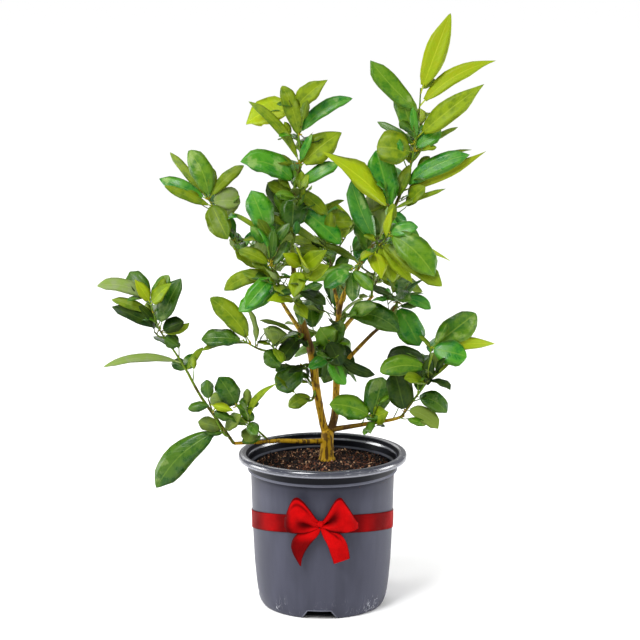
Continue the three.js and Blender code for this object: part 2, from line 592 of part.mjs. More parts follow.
      [0.97, 3.37, 50, 0.72, -12, 0, 27], [0.97, 1.84, 80, 0.48, 0, 0, 24],
      [0.97, 2.97, 93, 0.18, 10, 0, 27], [1, 10.6, 24, 0.3], [0.35, 1, 58, 0.44, 62],
      [0.66, 10.5, 60, 0.44, 64], [0.88, 1.5, 58, 0.44, 66]],
  },
  // The far side of the crown, where twigs and leaves follow the rule alone
  leaves_back_left: {
    limb: "bough_back_left", at: 1, stem: [[-68, 120, 452], [-66, 134, 476]], hue: "deep",
    shoots: 5, reach: 56, leafCount: 4, leafLength: 64,
  },
  leaves_back_right: {
    limb: "bough_back_right", at: 1, stem: [[72, 122, 432], [76, 138, 450]], hue: "deep",
    shoots: 5, reach: 54, leafCount: 4, leafLength: 64,
  },
  leaves_back_top: {
    limb: "bough_back", at: 1, stem: [[6, 92, 470], [-2, 106, 482]], hue: "bright",
    shoots: 4, reach: 50, leafCount: 4, leafLength: 60,
  },
  leaves_back_low: {
    limb: "bough_back_right", at: 0.35, stem: [[28, 76, 364], [6, 96, 356]], hue: "deep",
    shoots: 4, reach: 46, leafCount: 4, leafLength: 58,
  },
  // A small mass low on the left leader
  leaves_left_low: {
    limb: "bough_left", at: 0.38, stem: [[-24, -6, 334], [-31, -10, 329]], hue: "deep", shoots: 0,
    leaves: [[0.73, 7.68, 47, 0.72, -10, 0, -27], [0.65, 5.61, 32, 0.6, 20, 0, 17]],
  },
};

// Openings through and beside the crown that shoots keep free, as seen from an eye in front of it.
// Each is [x, z, radius] where its middle crosses the plane y = 0.
const EYE = { distance: 2950, height: 954 };
const OPENINGS = [[69, 691, 28], [46, 660, 24], [-77, 641, 16], [-106, 579, 16], [8, 576, 20], [-20, 521, 10],
  [-109, 519, 7], [35, 502, 8], [42, 468, 9], [-120, 427, 10], [-79, 410, 11], [-52, 402, 8], [-170, 409, 22],
  [145, 394, 12], [88, 369, 10], [64, 344, 13], [-149, 336, 20], [-107, 332, 23], [45, 293, 9], [97, 276, 9],
  [-67, 258, 23], [-23, 257, 16], [-165, 522, 30], [-140, 486, 18], [165, 530, 30], [-233, 362, 20],
  [-210, 290, 40]];

const LIGHT_FRONT = new THREE.Vector3(0, -0.6, 0.8);
const LIGHT_BACK = new THREE.Vector3(0, 0.5, 0.85);

// Leaf: rooted inside the twig, with a folded blade that arches to its tip
function leafSolid({ base, way, length, share, up, arch, bend }, stations = LEAF_STATIONS, extra = 0) {
  const side = way.clone().cross(up);
  const middle = Math.max(LEAF.thickness, length / LEAF.slimmest) / 2 + extra;
  const centre = (s) => {
    const bow = 4 * s * (1 - s) * length;
    const ahead = base.clone().addScaledVector(way, s * length);
    return ahead.addScaledVector(up, arch * bow).addScaledVector(side, bend * bow);
  };
  const ring = ([s, width]) => {
    const half = Math.max((width * share * length * LEAF.broaden) / 2, LEAF.petioleWidth / 2) + extra;
    const raised = LEAF.fold * (half - LEAF.petioleWidth / 2);
    return [
      centre(s).addScaledVector(side, half).addScaledVector(up, raised),
      centre(s).addScaledVector(up, middle),
      centre(s).addScaledVector(side, -half).addScaledVector(up, raised),
      centre(s).addScaledVector(up, -middle),
    ];
  };
  return loft([...stations.map(ring), [centre(1)]]);
}

// A leaf before it is placed: its roll and arch are drawn once, and its upper side faces the light
function leafTowards(base, way, length, share, dice, bend = 0) {
  const light = way.y > LEAF.facesBack ? LIGHT_BACK : LIGHT_FRONT;
  const roll = radians(dice.within(LEAF.roll));
  return { base, way, length, share, light, roll, bend, arch: LEAF.arch * (0.6 + 0.8 * dice.roll()) };
}

// The same leaf leaned towards the back by an angle
function leaned(leaf, angle) {
  const way = leaf.way.clone();
  way.y += Math.sin(angle);
  way.normalize();
  const up = leaf.light.clone().addScaledVector(way, -leaf.light.dot(way)).normalize();
  return { ...leaf, way, up: up.applyAxisAngle(way, leaf.roll) };
}

function leafFromRow([place, hour, length, share, lean = 0, bend = 0, roll], twig, dice) {
  const turn = (hour * Math.PI) / 6;
  const back = radians(lean + dice.within(LEAF.jitter));
  const way = new THREE.Vector3(Math.sin(turn), Math.tan(back), Math.cos(turn)).normalize();
  const leaf = leafTowards(twig.point(place), way, length, share, dice, bend);
  return roll === undefined ? leaf : { ...leaf, roll: radians(roll) };
}

// Whether a leaf of a shoot would stand in one of the openings when seen from the front
function closesOpening({ base, way, length, share }) {
  return [0.4, 0.7, 1].some((s) => {
    const at = base.clone().addScaledVector(way, s * length);
    const near = EYE.distance / (EYE.distance + at.y);
    const [x, z] = [at.x * near, EYE.height + (at.z - EYE.height) * near];
    const half = s < 1 ? 0.4 * share * length : 0;
    return OPENINGS.some(([ox, oz, radius]) => Math.hypot(x - ox, z - oz) < radius + half);
  });
}

// What is already in place, with its box and its owner, so that only near ones of other owners are compared
class Neighbours {
  constructor() {
    this.items = [];
  }
  add(solid, owner) {
    this.items.push({ solid, owner, box: solid.boundingBox() });
  }
  touch(solid, owner) {
    const box = solid.boundingBox();
    const near = this.items.filter((item) => (!owner || item.owner !== owner) &&
      [0, 1, 2].every((k) => item.box.min[k] < box.max[k] && box.min[k] < item.box.max[k]));
    return near.some((item) => item.solid.intersect(solid).volume() > 0);
  }
}

// Shoots by the rule: each turns a golden angle round its stem from the one before, and so do its leaves
function shoot(stem, place, spread, turn, length, leafCount, leafLength, dice) {
  const start = stem.point(place);
  const axis = stem.heading(place);
  const across = new THREE.Vector3(0, -1, 0).addScaledVector(axis, axis.y).normalize();
  across.applyAxisAngle(axis, turn);
  const way = axis.multiplyScalar(Math.cos(spread)).addScaledVector(across, Math.sin(spread));
  const middle = start.clone().addScaledVector(way, length * 0.5);
  const tip = start.clone().addScaledVector(way, length);
  tip.z += length * SHOOT.rise;
  const twig = new Wood([start, middle, tip], SHOOT.steps);
  const leaves = [];
  for (let j = 0; j < leafCount; j++) {
    const spot = SHOOT.bare + ((1 - SHOOT.bare) * j) / Math.max(1, leafCount - 1);
    const ahead = twig.heading(spot);
    const outward = new THREE.Vector3(0, 0, 1).addScaledVector(ahead, -ahead.z).normalize();
    outward.applyAxisAngle(ahead, Math.PI / 2 + j * GOLDEN_ANGLE + dice.within(0.4));
    const open = j === leafCount - 1 ? SHOOT.tipOpen : SHOOT.open;
    const leafWay = ahead.multiplyScalar(Math.cos(open)).addScaledVector(outward, Math.sin(open)).normalize();
    const size = leafLength * (0.75 + 0.45 * dice.roll());
    leaves.push(leafTowards(twig.point(spot), leafWay, size, 0.4 + 0.12 * dice.roll(), dice));
  }
  return { twig, leaves };
}

function shootsOf(given, stem, dice) {
  const mass = { ...FRONT_SHOOTS, ...given };
  const grown = [];
  for (let i = 0; i < mass.shoots; i++) {
    const place = mass.leaves ? (i + 0.8) / (mass.shoots + 0.6) : (i + 1) / mass.shoots;
    const last = !mass.leaves && i === mass.shoots - 1;
    const turn = mass.leaves ? i * Math.PI + dice.within(0.5) : i * GOLDEN_ANGLE + dice.within(0.3);
    const length = mass.reach * (1 - 0.3 * place) * (0.9 + 0.2 * dice.roll());
    const spread = last ? SHOOT.tipOpen : SHOOT.spread;
    grown.push(shoot(stem, place, spread, turn, length, mass.leafCount, mass.leafLength, dice));
  }
  return grown;
}

// One mass. A leaf leans aside until it is clear of its neighbours, and one that never is gets skipped.
function massSolid(name, mass, seed) {
  const dice = new Dice(seed);
  const parts = [mass.wood];
  const siblings = new Neighbours();
  siblings.add(parts[0]);
  const skipped = [];
  const place = (leaf, label, crossing) => {
    const poses = LEAN_TRIES.map((angle) => leaned(leaf, angle));
    const open = crossing ? poses : poses.filter((pose) => !closesOpening(pose));
    const clear = open.filter((pose) => !limbsAndPot.touch(leafSolid(pose, BLADE_STATIONS, CLEARANCE)) &&
      !grown.touch(leafSolid(pose, LEAF_STATIONS, CLEARANCE), name));
    const blade = (pose) => leafSolid(pose, BLADE_STATIONS);
    const chosen = clear.find((pose) => !siblings.touch(blade(pose))) ?? (crossing ? clear[0] : undefined);
    if (!chosen) {
      skipped.push(label);
      return;
    }
    siblings.add(blade(chosen));
    parts.push(leafSolid(chosen));
  };
  const shoots = shootsOf(mass, mass.stemLine, dice).filter(({ twig }, i) => {
    const wood = (extra) => tube(twig, [[0, SHOOT.thick], [1, TWIG_TIP]], TWIG_SIDES, extra);
    if (limbsAndPot.touch(wood(CLEARANCE)) || grown.touch(wood(CLEARANCE), name)) {
      skipped.push("twig " + i);
      return false;
    }
    parts.push(wood(0));
    siblings.add(wood(0));
    return true;
  });
  (mass.leaves ?? []).forEach((row, i) => place(leafFromRow(row, mass.stemLine, dice), i, true));
  shoots.forEach(({ leaves }, i) => leaves.forEach((leaf, j) => place(leaf, i + "." + j, false)));
  if (skipped.length) skippedLeaves[name] = skipped;
  const limbs = wasm.Manifold.union(Object.values(LIMBS).map(({ fat }) => fat));
  return mainPiece(wasm.Manifold.union(parts).subtract(limbs));
}

// Assembly
const skippedLeaves = {};
const limbsAndPot = new Neighbours();
const grown = new Neighbours();
const tree = new THREE.Group();
const container = new THREE.Group();
container.add(meshOf("pot", potSolid(), "pot"));
container.add(meshOf("soil", soilSolid(), "soil"));
container.add(meshOf("ribbon_band", bandSolid(), "ribbon"));
for (const [name, solid] of Object.entries(bowSolids())) container.add(meshOf(name, solid, "ribbon"));

let fattened = [];
for (const [name, limb] of Object.entries(LIMBS)) {
  limb.cut = fattened.reduce((solid, earlier) => solid.subtract(earlier), limb.solid);
  fattened.push(limb.fat);
  tree.add(meshOf(name, mainPiece(limb.cut), "bark"));
}

Object.values(LIMBS).forEach(({ solid }) => limbsAndPot.add(solid));
limbsAndPot.add(potSolid());
for (const [name, mass] of Object.entries(MASSES)) {
  const { wood, radii } = LIMBS[mass.limb];
  const thick = Math.max(STEM.least, along(radii, mass.at) * (mass.at === 1 ? 1 : STEM.share));
  mass.stemLine = new Wood([wood.point(mass.at), ...mass.stem.map(vector)]);
  const sides = thick > STEM.roundFrom ? STEM.sides : TWIG_SIDES;
  mass.wood = tube(mass.stemLine, [[0, thick], [1, TWIG_TIP]], sides);
  grown.add(mass.wood, name);
}
Object.entries(MASSES).forEach(([name, mass], i) => {
  const solid = massSolid(name, mass, i + 1);
  grown.add(solid, name);
  tree.add(meshOf(name, solid, mass.hue));
});

const limeTree = new THREE.Group();
limeTree.add(container, tree);
limeTree.userData.skippedLeaves = skippedLeaves;

export default limeTree;
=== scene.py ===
import logging
from collections.abc import Callable
from dataclasses import dataclass, field, replace
from enum import Enum
from math import copysign, cos, exp, hypot, pi, radians, sin, sqrt, tan, tau

import bmesh
import bpy
import numpy as np
from mathutils import Matrix, Vector
from mathutils.bvhtree import BVHTree
from mathutils.noise import fractal, noise_vector, seed_set


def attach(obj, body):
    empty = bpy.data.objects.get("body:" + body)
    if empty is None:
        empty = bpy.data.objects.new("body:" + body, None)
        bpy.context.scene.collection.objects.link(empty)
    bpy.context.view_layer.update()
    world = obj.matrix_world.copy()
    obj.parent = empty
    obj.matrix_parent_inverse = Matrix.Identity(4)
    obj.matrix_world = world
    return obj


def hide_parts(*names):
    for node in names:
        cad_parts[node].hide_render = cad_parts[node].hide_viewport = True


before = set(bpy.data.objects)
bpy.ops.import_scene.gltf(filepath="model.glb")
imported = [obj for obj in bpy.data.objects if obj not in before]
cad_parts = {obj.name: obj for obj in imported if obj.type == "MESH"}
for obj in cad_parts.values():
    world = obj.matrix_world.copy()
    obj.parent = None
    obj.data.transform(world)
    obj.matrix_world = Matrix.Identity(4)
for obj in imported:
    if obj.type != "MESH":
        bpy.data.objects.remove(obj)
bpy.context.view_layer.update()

# A potted Persian lime tree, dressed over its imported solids. Its plans are in millimetres.

MM = 0.001
GOLDEN_ANGLE = radians(137.5)
LOG = logging.getLogger("lime_tree")
Triple = tuple[float, float, float]
Colour = tuple[float, float, float, float]
Pairs = tuple[tuple[float, float], ...]
Piece = bpy.types.Object
Material = bpy.types.Material
Chance = np.random.RandomState


def along(pairs: Pairs, x: float) -> float:
    """Reads a value off (position, value) pairs in rising order, held level past both ends."""
    return float(np.interp(x, [p for p, _ in pairs], [v for _, v in pairs]))


def linear(red: float, green: float, blue: float) -> Colour:
    """Turns a colour as seen on a screen, 0 to 255, into linear light with full opacity."""
    shares = [c / 255 for c in (red, green, blue)]
    return (*[c / 12.92 if c <= 0.04045 else ((c + 0.055) / 1.055) ** 2.4 for c in shares], 1.0)


def smooth(x: float, low: float, high: float) -> float:
    """Eases from 0 at low to 1 at high."""
    share = min(max((x - low) / (high - low), 0.0), 1.0)
    return share * share * (3 - 2 * share)


# Node graphs


class Field:
    """A node socket that takes part in Python expressions, each operator adding a Math node."""

    def __init__(self, graph: "Graph", socket: bpy.types.NodeSocket) -> None:
        """Wraps a socket of a graph."""
        self.graph = graph
        self.socket = socket

    def __add__(self, other: "Field | float") -> "Field":
        """Adds."""
        return self.graph.math("ADD", self, other)

    def __radd__(self, other: float) -> "Field":
        """Adds, with the number first."""
        return self.graph.math("ADD", other, self)

    def __sub__(self, other: "Field | float") -> "Field":
        """Subtracts."""
        return self.graph.math("SUBTRACT", self, other)

    def __rsub__(self, other: float) -> "Field":
        """Subtracts from a number."""
        return self.graph.math("SUBTRACT", other, self)

    def __mul__(self, other: "Field | float") -> "Field":
        """Multiplies."""
        return self.graph.math("MULTIPLY", self, other)

    def __rmul__(self, other: float) -> "Field":
        """Multiplies, with the number first."""
        return self.graph.math("MULTIPLY", other, self)

    def __abs__(self) -> "Field":
        """Drops the sign."""
        return self.graph.math("ABSOLUTE", self)


class Made:
    """A node just made, whose outputs are read by name or number as fields."""

    def __init__(self, graph: "Graph", node: bpy.types.Node) -> None:
        """Keeps the node and its graph."""
        self.graph = graph
        self.node = node

    def __getitem__(self, output: str | int) -> Field:
        """Gives one output."""
        return Field(self.graph, self.node.outputs[output])


class Graph:
    """A node tree and the one method that adds nodes to it."""

    def __init__(self, tree: bpy.types.NodeTree) -> None:
        """Takes the tree to build in."""
        self.tree = tree

    def node(self, kind: str, sockets: dict | None = None, **settings: str | bool) -> Made:
        """Adds a node.

        Args:
            kind: the node's type name.
            sockets: input name or number to a field that is linked or a value that is set.
            settings: properties, set before the sockets.

        Returns:
            The node, whose outputs are read with square brackets.
        """
        node = self.tree.nodes.new(kind)
        for name, value in settings.items():
            setattr(node, name, value)
        for name, value in (sockets or {}).items():
            if isinstance(value, Field):
                self.tree.links.new(value.socket, node.inputs[name])
            else:
                node.inputs[name].default_value = value
        return Made(self, node)

    def math(self, operation: str, first: Field | float, second: Field | float = 0.0) -> Field:
        """Adds a Math node on one or two fields or numbers."""
        return self.node("ShaderNodeMath", {0: first, 1: second}, operation=operation)[0]


class Shader(Graph):
    """One material's graph, with the patterns that its finish is made of."""

    def __init__(self, name: str, roughness: float, **uniform: float) -> None:
        """Starts a material.

        Args:
            name: the material's name.
            roughness: the even roughness, unless a field replaces it.
            uniform: other sockets of the surface that are the same all over.
        """
        self.material = bpy.data.materials.new(name)
        self.material.use_nodes = True
        super().__init__(self.material.node_tree)
        self.tree.nodes.clear()
        values = {"Roughness": roughness, **{k.replace("_", " "): v for k, v in uniform.items()}}
        self.surface = self.node("ShaderNodeBsdfPrincipled", values)
        self.node("ShaderNodeOutputMaterial", {"Surface": self.surface[0]})

    def feed(self, **fields: Field) -> Material:
        """Links fields to the surface.

        Args:
            fields: socket name, with _ for a space, to its field.

        Returns:
            The finished material.
        """
        for name, value in fields.items():
            self.tree.links.new(value.socket, self.surface.node.inputs[name.replace("_", " ")])
        return self.material

    def place(self) -> Field:
        """Gives the place in the object's own space."""
        return self.node("ShaderNodeTexCoord")["Object"]

    def lay(self) -> Field:
        """Gives the place on the piece's own UV map."""
        return self.node("ShaderNodeUVMap", uv_map="lay")[0]

    def mark(self) -> Field:
        """Gives the piece's own number at each point."""
        return self.node("ShaderNodeAttribute", attribute_name="mark")["Fac"]

    def parts(self, vector: Field) -> tuple[Field, Field, Field]:
        """Splits a vector into its three numbers."""
        split = self.node("ShaderNodeSeparateXYZ", {0: vector})
        return split[0], split[1], split[2]

    def band(self, value: Field, middle: float, outer: float, inner: float) -> Field:
        """Gives 1 within inner of a level, eased to 0 at outer."""
        return self.step(abs(value - middle), outer, inner)

    def stretched(self, vector: Field, scale: Triple) -> Field:
        """Scales a place unevenly, so that a pattern on it runs long one way."""
        return self.node("ShaderNodeMapping", {"Vector": vector, "Scale": scale})[0]

    def noise(self, vector: Field, scale: float, detail: float = 2.0, roughness: float = 0.5) -> Field:
        """Gives soft noise from 0 to 1, its scale in blotches per metre or per unit of the vector."""
        sockets = {"Vector": vector, "Scale": scale, "Detail": detail, "Roughness": roughness}
        return self.node("ShaderNodeTexNoise", sockets)["Fac"]

    def step(self, value: Field, low: float, high: float,
             out_low: float = 0.0, out_high: float = 1.0) -> Field:
        """Eases from out_low, where a value is low, to out_high, where it is high, which may lie below."""
        sockets = {"Value": value, "From Min": low, "From Max": high, "To Min": out_low, "To Max": out_high}
        return self.node("ShaderNodeMapRange", sockets, interpolation_type="SMOOTHSTEP")["Result"]

    def mix(self, first: Field | tuple, second: Field | tuple, share: Field) -> Field:
        """Mixes fields, screen colours of three numbers or linear ones of four, by the second's share."""
        first, second = [linear(*c) if isinstance(c, tuple) and len(c) == 3 else c for c in (first, second)]
        return self.node("ShaderNodeMix", {0: share, 6: first, 7: second}, data_type="RGBA")[2]

    def coats(self, colour: Field, *coats: tuple[tuple, Field]) -> Field:
        """Lays colours over one another.

        Args:
            colour: the lowest one.
            coats: each further colour, and how much of it shows.

        Returns:
            The colour on top.
        """
        for tint, share in coats:
            colour = self.mix(colour, tint, share)
        return colour

    def bump(self, height: Field, strength: float, depth: float) -> Field:
        """Gives the normal of a relief from 0 to 1, where 1 is so many metres deep."""
        sockets = {"Height": height, "Strength": strength, "Distance": depth}
        return self.node("ShaderNodeBump", sockets)["Normal"]


class Grower(Graph):
    """A Geometry Nodes tree with named inputs, run once over a seed mesh to make a plain one."""

    def __init__(self, name: str, inputs: dict[str, int | float]) -> None:
        """Starts a tree.

        Args:
            name: the tree's name.
            inputs: input name to value, whole numbers making whole-number sockets.
        """
        super().__init__(bpy.data.node_groups.new(name, "GeometryNodeTree"))
        face = self.tree.interface
        face.new_socket("Geometry", in_out="INPUT", socket_type="NodeSocketGeometry")
        face.new_socket("Geometry", in_out="OUTPUT", socket_type="NodeSocketGeometry")
        self.values = {}
        for title, value in inputs.items():
            kind = "NodeSocketInt" if isinstance(value, int) else "NodeSocketFloat"
            self.values[face.new_socket(title, in_out="INPUT", socket_type=kind).identifier] = value
        self.given = self.node("NodeGroupInput")

    def spread(self, low: float | Triple, high: float | Triple, seed: Field | int) -> Field:
        """Gives each element its own random value.

        Args:
            low: the least value, a number or a vector.
            high: the greatest value.
            seed: the seed.

        Returns:
            The value as a field.
        """
        vector = isinstance(low, tuple)
        kind, first = ("FLOAT_VECTOR", 0) if vector else ("FLOAT", 2)
        sockets = {first: low, first + 1: high, "Seed": seed}
        made = self.node("FunctionNodeRandomValue", sockets, data_type=kind)
        return made[0 if vector else 1]

    def end(self, geometry: Field, material: Material) -> None:
        """Ends the tree with what the export needs: real geometry in one material.

        Args:
            geometry: what the tree has made.
            material: its finish.
        """
        real = self.node("GeometryNodeRealizeInstances", {"Geometry": geometry})[0]
        dressed = self.node("GeometryNodeSetMaterial", {"Geometry": real, "Material": material})[0]
        self.node("NodeGroupOutput", {0: dressed})

    def run(self, seed: Piece, name: str) -> Piece:
        """Runs the tree on a seed object and keeps only the result.

        Args:
            seed: the object that the tree works from, which is removed.
            name: the finished piece's name.

        Returns:
            The piece as a plain mesh.
        """
        modifier = seed.modifiers.new(self.tree.name, "NODES")
        modifier.node_group = self.tree
        for identifier, value in self.values.items():
            modifier[identifier] = value
        return baked(seed, name)


def put(name: str, data: bpy.types.ID) -> Piece:
    """Puts an object in the scene.

    Args:
        name: its name.
        data: its mesh, light or camera.

    Returns:
        The object.
    """
    made = bpy.data.objects.new(name, data)
    bpy.context.collection.objects.link(made)
    return made


def baked(source: Piece, name: str) -> Piece:
    """Turns an object and its modifiers into a plain mesh object and removes the source.

    Args:
        source: the object with live modifiers.
        name: the new object's name.

    Returns:
        The plain mesh object.
    """
    bpy.context.view_layer.update()
    ready = source.evaluated_get(bpy.context.evaluated_depsgraph_get())
    mesh = bpy.data.meshes.new_from_object(ready)
    bpy.data.objects.remove(source)
    mesh.name = name
    return put(name, mesh)


def round_points(centre: Vector, side: Vector, other: Vector, radius: float, count: int) -> list[Vector]:
    """Gives points round a centre, from one side of it on towards the other."""
    turns = np.linspace(0, tau, count, endpoint=False)
    return [centre + (side * cos(a) + other * sin(a)) * radius for a in turns]


@dataclass
class Skin:
    """A mesh in the making: points in millimetres, faces, a UV place and a number for each point."""

    points: list = field(default_factory=list)
    faces: list = field(default_factory=list)
    slots: list = field(default_factory=list)
    uvs: list = field(default_factory=list)
    marks: list = field(default_factory=list)

    def add(self, points: list, faces: list, uvs: list | None = None, mark: float | list = 0.0,
            slot: int | list = 0) -> None:
        """Adds a closed form.

        Args:
            points: its points.
            faces: its faces as point numbers, counted from its own first point.
            uvs: a UV place for each point, or nothing where the finish reads none.
            mark: one number for all its points, or one for each.
            slot: one material slot for all its faces, or one for each.
        """
        start = len(self.points)
        self.points.extend(points)
        self.faces.extend([tuple(start + i for i in face) for face in faces])
        self.slots.extend(slot if isinstance(slot, list) else [slot] * len(faces))
        self.uvs.extend(uvs or [(0.0, 0.0)] * len(points))
        self.marks.extend(mark if isinstance(mark, list) else [mark] * len(points))

    def grid(self, rows: list[list[Vector]], round_about: bool, caps: bool, mark: float | list = 0.0,
             slot: int = 0) -> None:
        """Adds a grid of points as a tube or a closed ring of tubes.

        Args:
            rows: equally long rows of points, each row going once round the form.
            round_about: whether the last row joins the first one.
            caps: whether the first and last rows are closed with a face.
            mark: one number for all points, or one for each row.
            slot: the material slot.
        """
        count, across = len(rows), len(rows[0])
        spans = count if round_about else count - 1
        faces = []
        for i in range(spans):
            a, b = i * across, ((i + 1) % count) * across
            faces += [(a + j, a + (j + 1) % across, b + (j + 1) % across, b + j) for j in range(across)]
        if caps:
            faces.append(tuple(reversed(range(across))))
            faces.append(tuple((count - 1) * across + j for j in range(across)))
        uvs = [(i / spans, j / across) for i in range(count) for j in range(across)]
        marks = [m for m in mark for _ in range(across)] if isinstance(mark, list) else mark
        self.add([tuple(p) for row in rows for p in row], faces, uvs, marks, slot)

    def make(self, name: str, materials: list[Material], outward: bool = False) -> Piece:
        """Makes the object.

        Args:
            name: its name.
            materials: one for each slot.
            outward: whether to turn all faces outwards again.

        Returns:
            The object, smooth shaded, with UV map "lay" and attribute "mark".
        """
        mesh = bpy.data.meshes.new(name)
        mesh.from_pydata([tuple(c * MM for c in p) for p in self.points], [], self.faces)
        for material in materials:
            mesh.materials.append(material)
        mesh.polygons.foreach_set("material_index", self.slots)
        mesh.polygons.foreach_set("use_smooth", [True] * len(self.faces))
        mesh.attributes.new("mark", "FLOAT", "POINT").data.foreach_set("value", self.marks)
        corners = np.zeros(len(mesh.loops), dtype=np.int32)
        mesh.loops.foreach_get("vertex_index", corners)
        layer = mesh.uv_layers.new(name="lay")
        layer.data.foreach_set("uv", np.array(self.uvs, dtype=np.float32)[corners].ravel())
        if outward:
            work = bmesh.new()
            work.from_mesh(mesh)
            bmesh.ops.recalc_face_normals(work, faces=work.faces)
            work.to_mesh(mesh)
            work.free()
        mesh.update()
        return put(name, mesh)


def settle(piece: Piece, nodes: list[str]) -> None:
    """Hands a finished piece to the frame.

    Args:
        piece: the finished object.
        nodes: the solids that it stands for.
    """
    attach(piece, "root")
    if nodes:
        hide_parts(*nodes)
    triangles = sum(len(p.vertices) - 2 for p in piece.data.polygons)
    LOG.info("%s: %d triangles", piece.name, triangles)


# Finishes


# Painted sheen: the pale colour of leaf patches that stand in for highlights.
SHEEN_HIGHLIGHT: Triple = (180, 195, 122)


def lit(colour: Triple, share: float) -> Colour:
    """Turns a screen colour into linear light, made lighter or darker by a share."""
    return (*[c * share for c in linear(*colour)[:3]], 1.0)


@dataclass(frozen=True)
class Tint:
    """One leaf colour: its face, the hue of its patches, its rib, also laid along the blade's edge as a
    painted edge highlight, and its share of painted sheen.
    """

    name: str
    face: Triple
    other: Triple
    rib: Triple
    roughness: float = 0.4
    patches: float = 0.14
    gloss: float = 0.18
    sheen_share: float = 0.0

    def make(self) -> Material:
        """Makes the finish: rib, slanting veins, a pale edge as a painted edge highlight, soft patches, pale
        patches of painted sheen, and gloss.

        Returns:
            The material.
        """
        shader = Shader("leaf_" + self.name, self.roughness, Specular_IOR_Level=self.gloss)
        place, mark = shader.place(), shader.mark()
        u, v, _ = shader.parts(shader.lay())
        across = abs(v - 0.5) * 2.0
        rib = shader.step(across, 0.075, 0.02)
        edge_highlight = shader.step(across, 0.84, 0.98)
        wave = shader.math("SINE", (u * 11.0 - across * 2.6) * tau)
        veins = shader.step(wave, 0.82, 1.0) * shader.step(across, 1.0, 0.7)
        patch = shader.noise(place, 95.0, 3.0, 0.55)
        fine = shader.noise(place, 1400.0, 2.0, 0.6)
        hue = shader.step(patch + v * 0.16, 0.4, 0.68)
        face = shader.mix(lit(self.face, 1 - self.patches), lit(self.other, 1 + self.patches), hue)
        face = shader.coats(face, (lit(self.other, 1.3), shader.step(mark, 0.3, 1.0, 0.0, 0.8)),
                            (lit(self.face, 0.62), shader.step(mark, -0.3, -1.0, 0.0, 0.8)))
        # Painted sheen: pale patches that stand in for highlights on the leaf.
        if self.sheen_share:
            sheen_patch = shader.step(shader.noise(place, 44.0, 3.0, 0.6), 0.56, 0.68)
            sheen_patch = sheen_patch * shader.step(fine, 0.36, 0.6, 0.4, 1.0) * shader.step(across, 0.95, 0.6)
            face = shader.mix(face, SHEEN_HIGHLIGHT, sheen_patch * self.sheen_share)
        # The pale band along the blade's edge is a painted edge highlight.
        face = shader.coats(face, (self.rib, veins * 0.12), (self.rib, edge_highlight * 0.34), (self.rib, rib * 0.45))
        relief = patch * 0.35 + fine * 0.08 - veins * 0.22 - rib * 0.6
        rough = shader.step(patch, 0.3, 0.7, self.roughness - 0.05, self.roughness + 0.08)
        return shader.feed(Base_Color=face, Roughness=rough, Normal=shader.bump(relief, 0.5, 0.0006))


@dataclass(frozen=True)
class Bark:
    """Young citrus bark: olive ochre, streaked with brown along the wood, greener where it is thin.

    The piece's mark runs from -1, where it is brown all over, past 0, ochre, to 1, green.
    """

    name: str
    ochre: Triple
    brown: Triple
    green: Triple
    streaks: Triple = (260.0, 260.0, 34.0)

    def make(self) -> Material:
        """Makes the finish.

        Returns:
            The material.
        """
        shader = Shader(self.name, 0.62, Specular_IOR_Level=0.18)
        place, mark = shader.place(), shader.mark()
        streak = shader.noise(shader.stretched(place, self.streaks), 1.0, 4.0, 0.62)
        blotch = shader.noise(place, 60.0, 3.0, 0.6)
        grain = shader.noise(place, 900.0, 2.0, 0.6)
        colour = shader.coats(
            shader.mix(self.ochre, self.green, shader.step(mark, 0.0, 1.0)),
            (self.brown, shader.step(mark + streak * 0.8, 0.4, -0.5) * 0.85),
            (self.brown, shader.step(streak, 0.5, 0.6) * 0.9),
            (self.brown, shader.step(blotch, 0.53, 0.62) * 0.75))
        relief = streak * 0.7 + grain * 0.3
        rough = shader.step(streak, 0.35, 0.65, 0.55, 0.78)
        return shader.feed(Base_Color=colour, Roughness=rough, Normal=shader.bump(relief, 0.75, 0.0009))


